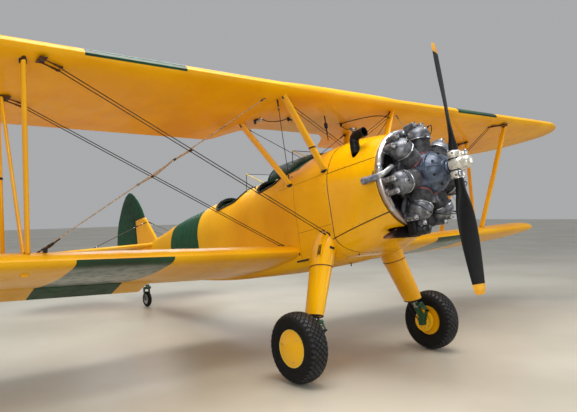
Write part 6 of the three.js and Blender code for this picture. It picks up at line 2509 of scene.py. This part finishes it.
def dial(panel, at, radius, numbers, pointer):
    """Round instrument on the aft side of a panel; numbers run clockwise from the foot."""
    bezel = [(0.84, 0.000), (1.0, 0.000), (1.0, 0.006), (0.95, 0.008), (0.84, 0.006)]
    panel.add(turned([(r * radius, h) for r, h in bezel], 36, at, AFT, loop=True), black_rubber)
    profile = [(0, 0.0022), (0.87 * radius, 0.0022), (0.87 * radius, -0.001), (0, -0.001)]
    panel.add(turned(profile, 36, at, AFT), dial_black)

    def spot(share, reach):
        angle = math.radians(-140 + 280 * share)
        return at + Vector((-math.sin(angle) * reach, 0.003, math.cos(angle) * reach))

    for k in range(25):
        share = k / 24
        reach = 0.7 if k % 4 == 0 else 0.76
        panel.add(tube([spot(share, reach * radius), spot(share, 0.82 * radius)], 0.0006, 4), dial_white)
    for k, text in enumerate(numbers):
        panel.add(
            number_shape(text, radius * 0.27, spot(k / (len(numbers) - 1), 0.53 * radius)), dial_white
        )
    path = [spot(pointer, -0.16 * radius), spot(pointer, 0.66 * radius)]
    panel.add(tube(path, [0.0016, 0.0006], 6), dial_white)
    panel.add(turned([(0, 0.0045), (0.005, 0.004), (0.005, 0.001), (0, 0.001)], 14, at, AFT), black_rubber)


DIALS = [
    (-0.205, 0.3, 0.04, ("0", "4", "8", "12", "16"), 0.0),
    (-0.105, 0.322, 0.044, ("0", "2", "4", "6", "8"), 0.06),
    (0.000, 0.332, 0.046, ("5", "10", "15", "20", "25"), 0.0),
    (0.105, 0.322, 0.044, ("0", "1", "2", "3"), 0.4), (0.205, 0.3, 0.04, ("0", "5", "10", "15"), 0.2),
    (-0.15, 0.205, 0.03, ("0", "5", "10"), 0.1), (0.000, 0.215, 0.034, ("0", "3", "6", "9"), 0.7),
    (0.15, 0.205, 0.03, ("0", "50", "100"), 0.3),
]
for name, y in PANELS.items():
    panel = Piece(f"panel_{name}_detail")
    outline = panel_outline(y)
    panel.add(loft([[(x, y + d, z) for x, z in outline] for d in (0.0, PANEL_DEPTH)]), black_satin)
    for x, z, radius, numbers, pointer in DIALS:
        dial(panel, Vector((x, y + PANEL_DEPTH, z)), radius, numbers, pointer)
    for x in np.linspace(-0.22, 0.22, 6):
        at = Vector((x, y + PANEL_DEPTH, 0.145))
        profile = [(0, 0.018), (0.006, 0.016), (0.006, 0.004), (0.009, 0.003), (0.009, 0.0), (0, 0.0)]
        panel.add(turned(profile, 16, at, (0, 1, 0)), cast_light)
    panel.done("airframe", "black_paint", [f"panel_{name}"], crease=30)
print("dials:", len(DIALS) * len(PANELS))

# %% Stick, pedals, throttle and floor
for name, y in SEATS.items():
    floor_z = body_values(y - 0.45)[2] + WALL + 0.004
    controls = Piece(f"controls_{name}")
    stick = [
        (0, y - 0.39, floor_z + 0.03), (0, y - 0.395, -0.36), (0, y - 0.372, -0.14), (0, y - 0.37, -0.07)
    ]
    controls.add(tube(smooth_path(stick, 5), 0.0125, 14), cockpit_green)
    path = [(0, y - 0.371, -0.13), (0, y - 0.37, -0.1), (0, y - 0.368, -0.03), (0, y - 0.367, -0.02)]
    controls.add(tube(path, [0.016, 0.0195, 0.0185, 0.012], 18), black_rubber)
    profile = [(0.0125, 0), (0.034, 0.004), (0.04, -0.022), (0.0125, -0.026)]
    controls.add(turned(profile, 24, (0, y - 0.391, floor_z + 0.052), UP, loop=True), black_rubber)
    for side in (-1, 1):
        pedal = Vector((side * 0.17, y - 0.8, -0.43))
        path = [pedal - Vector((0.055, 0, 0)), pedal + Vector((0.055, 0, 0))]
        controls.add(tube(path, 0.012, 12), cast_light)
        controls.add(tube([pedal, (side * 0.17, y - 0.83, floor_z)], 0.0105, 12), cockpit_green)
        controls.add(
            block((0.1, 0.62, 0.012), (side * 0.17, y - 0.56, floor_z + 0.006), edge=0.004), webbing
        )
    wall = body_half(y - 0.36, 0.06) - WALL
    controls.add(block((0.03, 0.13, 0.06), (wall - 0.014, y - 0.36, 0.055), edge=0.008), cockpit_green)
    for k, knob in enumerate((tip_yellow, black_rubber)):
        foot = Vector((wall - 0.026 - 0.012 * k, y - 0.34 - 0.03 * k, 0.065))
        top = foot + Vector((-0.004, -0.035, 0.085))
        controls.add(tube([foot, top], 0.0042, 8), steel)
        profile = [(0, -0.012), (0.009, -0.009), (0.0125, 0.0), (0.009, 0.009), (0, 0.012)]
        controls.add(turned(profile, 16, top, UP), knob)
    controls.done("airframe", "green_metal")

# %% [markdown]
# ## Cushions and belts
# A cushion is sewn from flat leather and stuffed, so its faces swell and its sides pull in
# between the corners. A rounded block a little smaller than the finished cushion is turned
# into even voxels, and a short cloth simulation blows it up; how far a point may move is
# capped. The piping along its seam and the belt come afterwards, as plain sweeps.

# %% Cushions
def outline_box(half_x, half_y, corner, steps=8):
    """Flat rounded box, as points round the origin."""
    points = []
    for cx, cy, start in ((1, 1, 0), (-1, 1, 90), (-1, -1, 180), (1, -1, 270)):
        for k in range(steps):
            a = math.radians(start + 90 * k / (steps - 1))
            points.append(
                (
                    cx * (half_x - corner) + corner * math.cos(a),
                    cy * (half_y - corner) + corner * math.sin(a),
                )
            )
    return points


def lengths(shift):
    return np.maximum(1e-9, np.linalg.norm(shift, axis=1))[:, None]


def co_of(data):
    flat = np.empty(len(data.vertices) * 3)
    data.vertices.foreach_get("co", flat)
    return flat.reshape(-1, 3)


def puffed(name, size, at, turn, cap=0.009):
    """Cushion blown up by a cloth simulation from a slightly smaller block."""
    shape = block([s * k for s, k in zip(size, (0.96, 0.96, 0.74))], at, turn, edge=0.014, steps=3)
    pad = Piece(name)
    pad.add(shape, seat_leather)
    made = placed(name, pad.mesh())
    voxels = made.modifiers.new("voxels", "REMESH")
    voxels.mode, voxels.voxel_size = "VOXEL", 0.006
    plain_mesh(made)
    made.data.materials.clear()
    made.data.materials.append(seat_leather)
    still = co_of(made.data)
    puff = made.modifiers.new("puff", "CLOTH")
    puff.settings.use_pressure = True
    puff.settings.uniform_pressure_force = 4.0
    puff.settings.effector_weights.gravity = 0.0
    for step in range(1, 21):
        bpy.context.scene.frame_set(step)
    swollen = made.evaluated_get(bpy.context.evaluated_depsgraph_get()).to_mesh()
    shift = co_of(swollen) - still
    made.modifiers.clear()
    made.data.vertices.foreach_set(
        "co", (still + shift * np.minimum(1.0, cap / lengths(shift))).ravel()
    )
    bpy.context.scene.frame_set(1)
    finer = made.modifiers.new("finer", "SUBSURF")
    finer.levels = finer.render_levels = 1
    plain_mesh(made)
    smooth(made.data, 60)
    settle(made, "airframe")
    return made


def piping(piece, size, at, turn):
    edge = outline_box(size[0] / 2 - 0.002, size[1] / 2 - 0.002, 0.03)
    piece.add(tube([at + turn @ Vector((x, y, 0)) for x, y in edge], 0.0038, 8, loop=True), rim_leather)


def ribbon(path, half, thick, across):
    """Flat strap along a path, its width in the given direction."""
    across = Vector(across).normalized() * half
    rings = []
    for i, p in enumerate(path):
        way = path[min(i + 1, len(path) - 1)] - path[max(i - 1, 0)]
        out = way.cross(across).normalized() * thick / 2
        rings.append([p - across - out, p + across - out, p + across + out, p - across + out])
    return loft(rings)


FLAT = Matrix.Identity(3)
UPRIGHT = Matrix.Rotation(math.radians(87), 3, "X")
for name, y in SEATS.items():
    pan, back = (0.308, 0.262, 0.056), (0.3, 0.3, 0.046)
    pan_at, back_at = Vector((0, y - 0.15, -0.232)), Vector((0, y + 0.01, -0.012))
    puffed(f"seat_{name}_cushion", pan, pan_at, FLAT)
    puffed(f"seat_{name}_backrest", back, back_at, UPRIGHT)
    trim = Piece(f"seat_{name}_trim")
    piping(trim, pan, pan_at, FLAT)
    piping(trim, back, back_at, UPRIGHT)
    for side in (-1, 1):
        strap = [
            (side * 0.196, y - 0.03, -0.2), (side * 0.19, y - 0.045, -0.17),
            (side * 0.15, y - 0.085, -0.176),
        ]
        strap += [(side * 0.09, y - 0.125, -0.188), (side * 0.022, y - 0.15, -0.19)]
        trim.add(ribbon(smooth_path(strap, 6), 0.023, 0.003, (0, 0.9, 0.25)), webbing)
        trim.add(block((0.012, 0.05, 0.03), (side * 0.199, y - 0.028, -0.205), edge=0.003), steel)
    trim.add(block((0.052, 0.056, 0.01), (0, y - 0.152, -0.187), edge=0.003), steel)
    trim.add(block((0.02, 0.034, 0.008), (0.004, y - 0.152, -0.18), edge=0.003), cast_light)
    trim.done("airframe", "green_metal")
print("cushions:", 2 * len(SEATS), "simulated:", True)

# %% [markdown]
# ## Tail gear and bracing
# The tail wheel turns freely in a fork that swivels under a steel post. The tailplane is
# held by a streamlined strut below and by two wires from the fin above.

# %% Tail post and fork
TAIL_AXLE = Vector((0, 6.407, -0.625))
SWIVEL_Y = 6.347
post = Piece("tail_strut_detail")
path = [(0, SWIVEL_Y, -0.17), (0, SWIVEL_Y, -0.215), (0, SWIVEL_Y, -0.285), (0, SWIVEL_Y, -0.3)]
post.add(tube(path, [0.046, 0.045, 0.036, 0.034], 28), green_paint)
profile = [(0.034, -0.006), (0.043, -0.005), (0.043, 0.005), (0.034, 0.006)]
post.add(turned(profile, 32, (0, SWIVEL_Y, -0.286), UP, loop=True), steel)
post.add(tube([(0, 6.1, -0.2), (0, SWIVEL_Y - 0.015, -0.262)], 0.024, 20), green_paint)
post.add(block((0.048, 0.06, 0.06), (0, 6.2, -0.262), edge=0.01, steps=3), green_paint)
for side in (-1, 1):
    profile = [(0, 0.01), (0.01, 0.009), (0.0115, 0.0), (0, 0)]
    post.add(turned(profile, 6, (side * 0.024, 6.2, -0.262), (side, 0, 0)), steel)
post.done("airframe", "green_metal", ["tail_strut"])

fork = Piece("tail_fork_detail")
fork.add(tube([(0, SWIVEL_Y, -0.3006), (0, SWIVEL_Y, -0.425)], 0.026, 28), steel)
profile = [(0.026, -0.012), (0.035, -0.01), (0.035, 0.01), (0.026, 0.012)]
fork.add(turned(profile, 32, (0, SWIVEL_Y, -0.405), UP, loop=True), green_paint)
fork.add(block((0.1, 0.114, 0.042), (0, 6.37, -0.441), edge=0.012, steps=4), green_paint)
for side in (-1, 1):
    cheek = [
        (6.364, -0.445), (6.378, -0.59), (6.374, -0.625), (6.385, -0.648), (6.407, -0.652), (6.429, -0.648),
        (6.434, -0.625), (6.432, -0.59), (6.424, -0.445),
    ]
    fork.add(slab(cheek, 0.006, "x", 0.004), green_paint, Matrix.Translation((side * 0.044, 0, 0)))
    profile = [(0, 0.01), (0.012, 0.009), (0.014, 0.0), (0, 0)]
    fork.add(turned(profile, 6, (side * 0.05, TAIL_AXLE.y, TAIL_AXLE.z), (side, 0, 0)), steel)
fork.add(tube([TAIL_AXLE - Vector((0.05, 0, 0)), TAIL_AXLE + Vector((0.05, 0, 0))], 0.009, 20), steel)
fork.done("tail_fork", "green_metal", ["tail_fork"])

# %% Tail wheel
small_wheel = Piece("tail_wheel_detail")
small_tyre = [
    (0.08, -0.022), (0.086, -0.029), (0.098, -0.0315), (0.112, -0.029), (0.121, -0.022), (0.1265, -0.012),
    (0.128, 0.0),
]
small_tyre += [(r, -x) for r, x in small_tyre[-2::-1]]
small_wheel.add(turned(small_tyre, 64, TAIL_AXLE, PORT, loop=True), tyre_black)
for x in (-0.009, 0.0, 0.009):
    small_wheel.add(
        tube(
            [TAIL_AXLE + Vector((x, 0.1266 * math.cos(t), 0.1266 * math.sin(t))) for t in turns(64)],
            0.0014, 6, loop=True,
        ),
        tyre_black,
    )
small_hub = [
    (0.0095, 0.026), (0.024, 0.026), (0.028, 0.018), (0.06, 0.012), (0.07, 0.02), (0.082, 0.0235),
    (0.083, 0.0),
]
small_hub += [(r, -x) for r, x in small_hub[-2::-1]]
small_wheel.add(turned(small_hub, 48, TAIL_AXLE, PORT, loop=True), cast_light)
small_wheel.done("tail_wheel", "tyre", ["tail_wheel"])
hub_nuts = []
for side in (-1, 1):
    for t in turns(6):
        nut = Vector((side * 0.0145, 0.045 * math.cos(t), 0.045 * math.sin(t)))
        hub_nuts.append((TAIL_AXLE + nut, (side, 0, 0)))
heads("tail_wheel_nuts", hub_nuts, 0.0045, 0.005, 6, steel, "tail_wheel", top=0.9)

# %% Tail bracing and drain
brace = Piece("tail_bracing_left")
low, high = Vector((0.075, 6.15, -0.15)), Vector((0.96, 6.3, TAIL_Z - 0.026))
add_strut(brace, low, high, 0.046, 0.02)
for y in (6.06, 6.44):
    add_wire(
        brace, (0.02, 6.1 + 0.34 * (y - 6.06) / 0.38, 0.64), (0.96, y + 0.12 * (y < 6.2), TAIL_Z + 0.026),
        radius=0.003,
    )
brace.add(block((0.05, 0.26, 0.006), (0.96, 6.31, TAIL_Z + 0.03), edge=0.002), metal_yellow)
for side, body_side in ((1, brace), (-1, brace.mirrored("tail_bracing_right"))):
    body_side.done("airframe", "yellow_metal")
drains = Piece("drain_tubes")
for x, y, low_z in ((-0.3, 1.05, -0.64), (0.14, 1.62, -0.705)):
    drains.add(tube([(x, y, low_z + 0.07), (x, y, low_z)], 0.006, 12), dark_steel)
drains.done("airframe", "exhaust")
print("tail gear, bracing and drains made")

# %% [markdown]
# ## Floor, light and camera
# The aircraft stands on a pale, slightly polished floor under wide soft lamps, like a
# bright hall with a high ceiling. The camera stands low, ahead of the starboard wing.

# %% Floor


def floor_finish():
    """Pale painted concrete, faintly cloudy and slightly polished."""
    skin = Finish("floor_pale", 0.3)
    cloud = skin.noise(0.5, 4.0)
    skin.feed("Base Color", skin.mix(cloud.step(0.3, 0.7), rgb(188, 182, 166), rgb(204, 199, 184)))
    skin.feed("Roughness", 0.26 + 0.2 * skin.noise(2.2, 4.0))
    return skin.material


FLOOR_HALF = 60.0
ground = bpy.data.meshes.new("floor")
corners = [
    (-FLOOR_HALF, -FLOOR_HALF, 0), (FLOOR_HALF, -FLOOR_HALF, 0), (FLOOR_HALF, FLOOR_HALF, 0),
    (-FLOOR_HALF, FLOOR_HALF, 0),
]
ground.from_pydata(corners, [], [(0, 1, 2, 3)])
ground.materials.append(floor_finish())
floor = placed("floor", ground)
floor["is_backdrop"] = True

# %% Light
world = bpy.data.worlds.new("hall")
world.use_nodes = True
world.node_tree.nodes["Background"].inputs["Color"].default_value = (0.86, 0.88, 0.9, 1.0)
world.node_tree.nodes["Background"].inputs["Strength"].default_value = 0.46
bpy.context.scene.world = world


def lamp(name, place, target, size, watts, colour=(1, 1, 1)):
    """Square soft lamp that faces a target."""
    light = bpy.data.lights.new(name, "AREA")
    light.size, light.energy, light.color = size, watts, colour
    made = placed(name, light)
    made.location = place
    made.rotation_euler = (Vector(target) - Vector(place)).to_track_quat("-Z", "Y").to_euler()


lamp("ceiling", (-0.6, -2.6, 9.0), (0, -1.8, 0), 7.0, 930, (1.0, 0.98, 0.95))
lamp("front_left", (-9.0, -9.0, 3.6), (0, -2, 1.2), 4.0, 270)
lamp("front_right", (6.5, -10.0, 4.0), (0, -2, 1.5), 4.0, 170)
lamp("behind", (4.0, 9.0, 7.0), (0, 0, 1.2), 5.0, 300, (0.95, 0.97, 1.0))

# %% Camera
YAW, LIFT, ROLL = (math.radians(a) for a in (39.3366, 0.3686, -1.0743))
ahead = Vector((math.sin(YAW) * math.cos(LIFT), math.cos(YAW) * math.cos(LIFT), math.sin(LIFT)))
right = Vector((math.cos(YAW), -math.sin(YAW), 0))
above = right.cross(ahead)
rolled_right = right * math.cos(ROLL) + above * math.sin(ROLL)
rolled_up = above * math.cos(ROLL) - right * math.sin(ROLL)
PICTURE_WIDTH, FOCAL_PIXELS = 577, 593.229
EYE = (-4.4991, -6.6994, 1.593)
lens = bpy.data.cameras.new("camera")
lens.sensor_width = 36.0
lens.lens = FOCAL_PIXELS / PICTURE_WIDTH * lens.sensor_width
lens.clip_end = 200.0
camera = placed("camera", lens)
turn = Matrix((rolled_right, rolled_up, -ahead)).transposed()
camera.matrix_world = Matrix.Translation(EYE) @ turn.to_4x4()
bpy.context.scene.camera = camera
bpy.context.scene.view_settings.view_transform = "Standard"
bpy.context.scene.view_settings.look = "None"

# %% [markdown]
# ## Sizes and the closing line
# The CAD box and the box of the finished model are written side by side, so that the two
# can be compared: the dressing must not make the aircraft larger.

# %% Finish
low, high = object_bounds()
sizes = {"cad": [list(cad_low), list(cad_high)], "visual": [list(low), list(high)]}
for name, (low, high) in sizes.items():
    print(name, "box", [round(b - a, 4) for a, b in zip(low, high)])
shown = [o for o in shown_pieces() if o.type == "MESH"]
triangles = sum(sum(len(p.vertices) - 2 for p in o.data.polygons) for o in shown)
print("pieces:", len(shown), "triangles:", triangles)
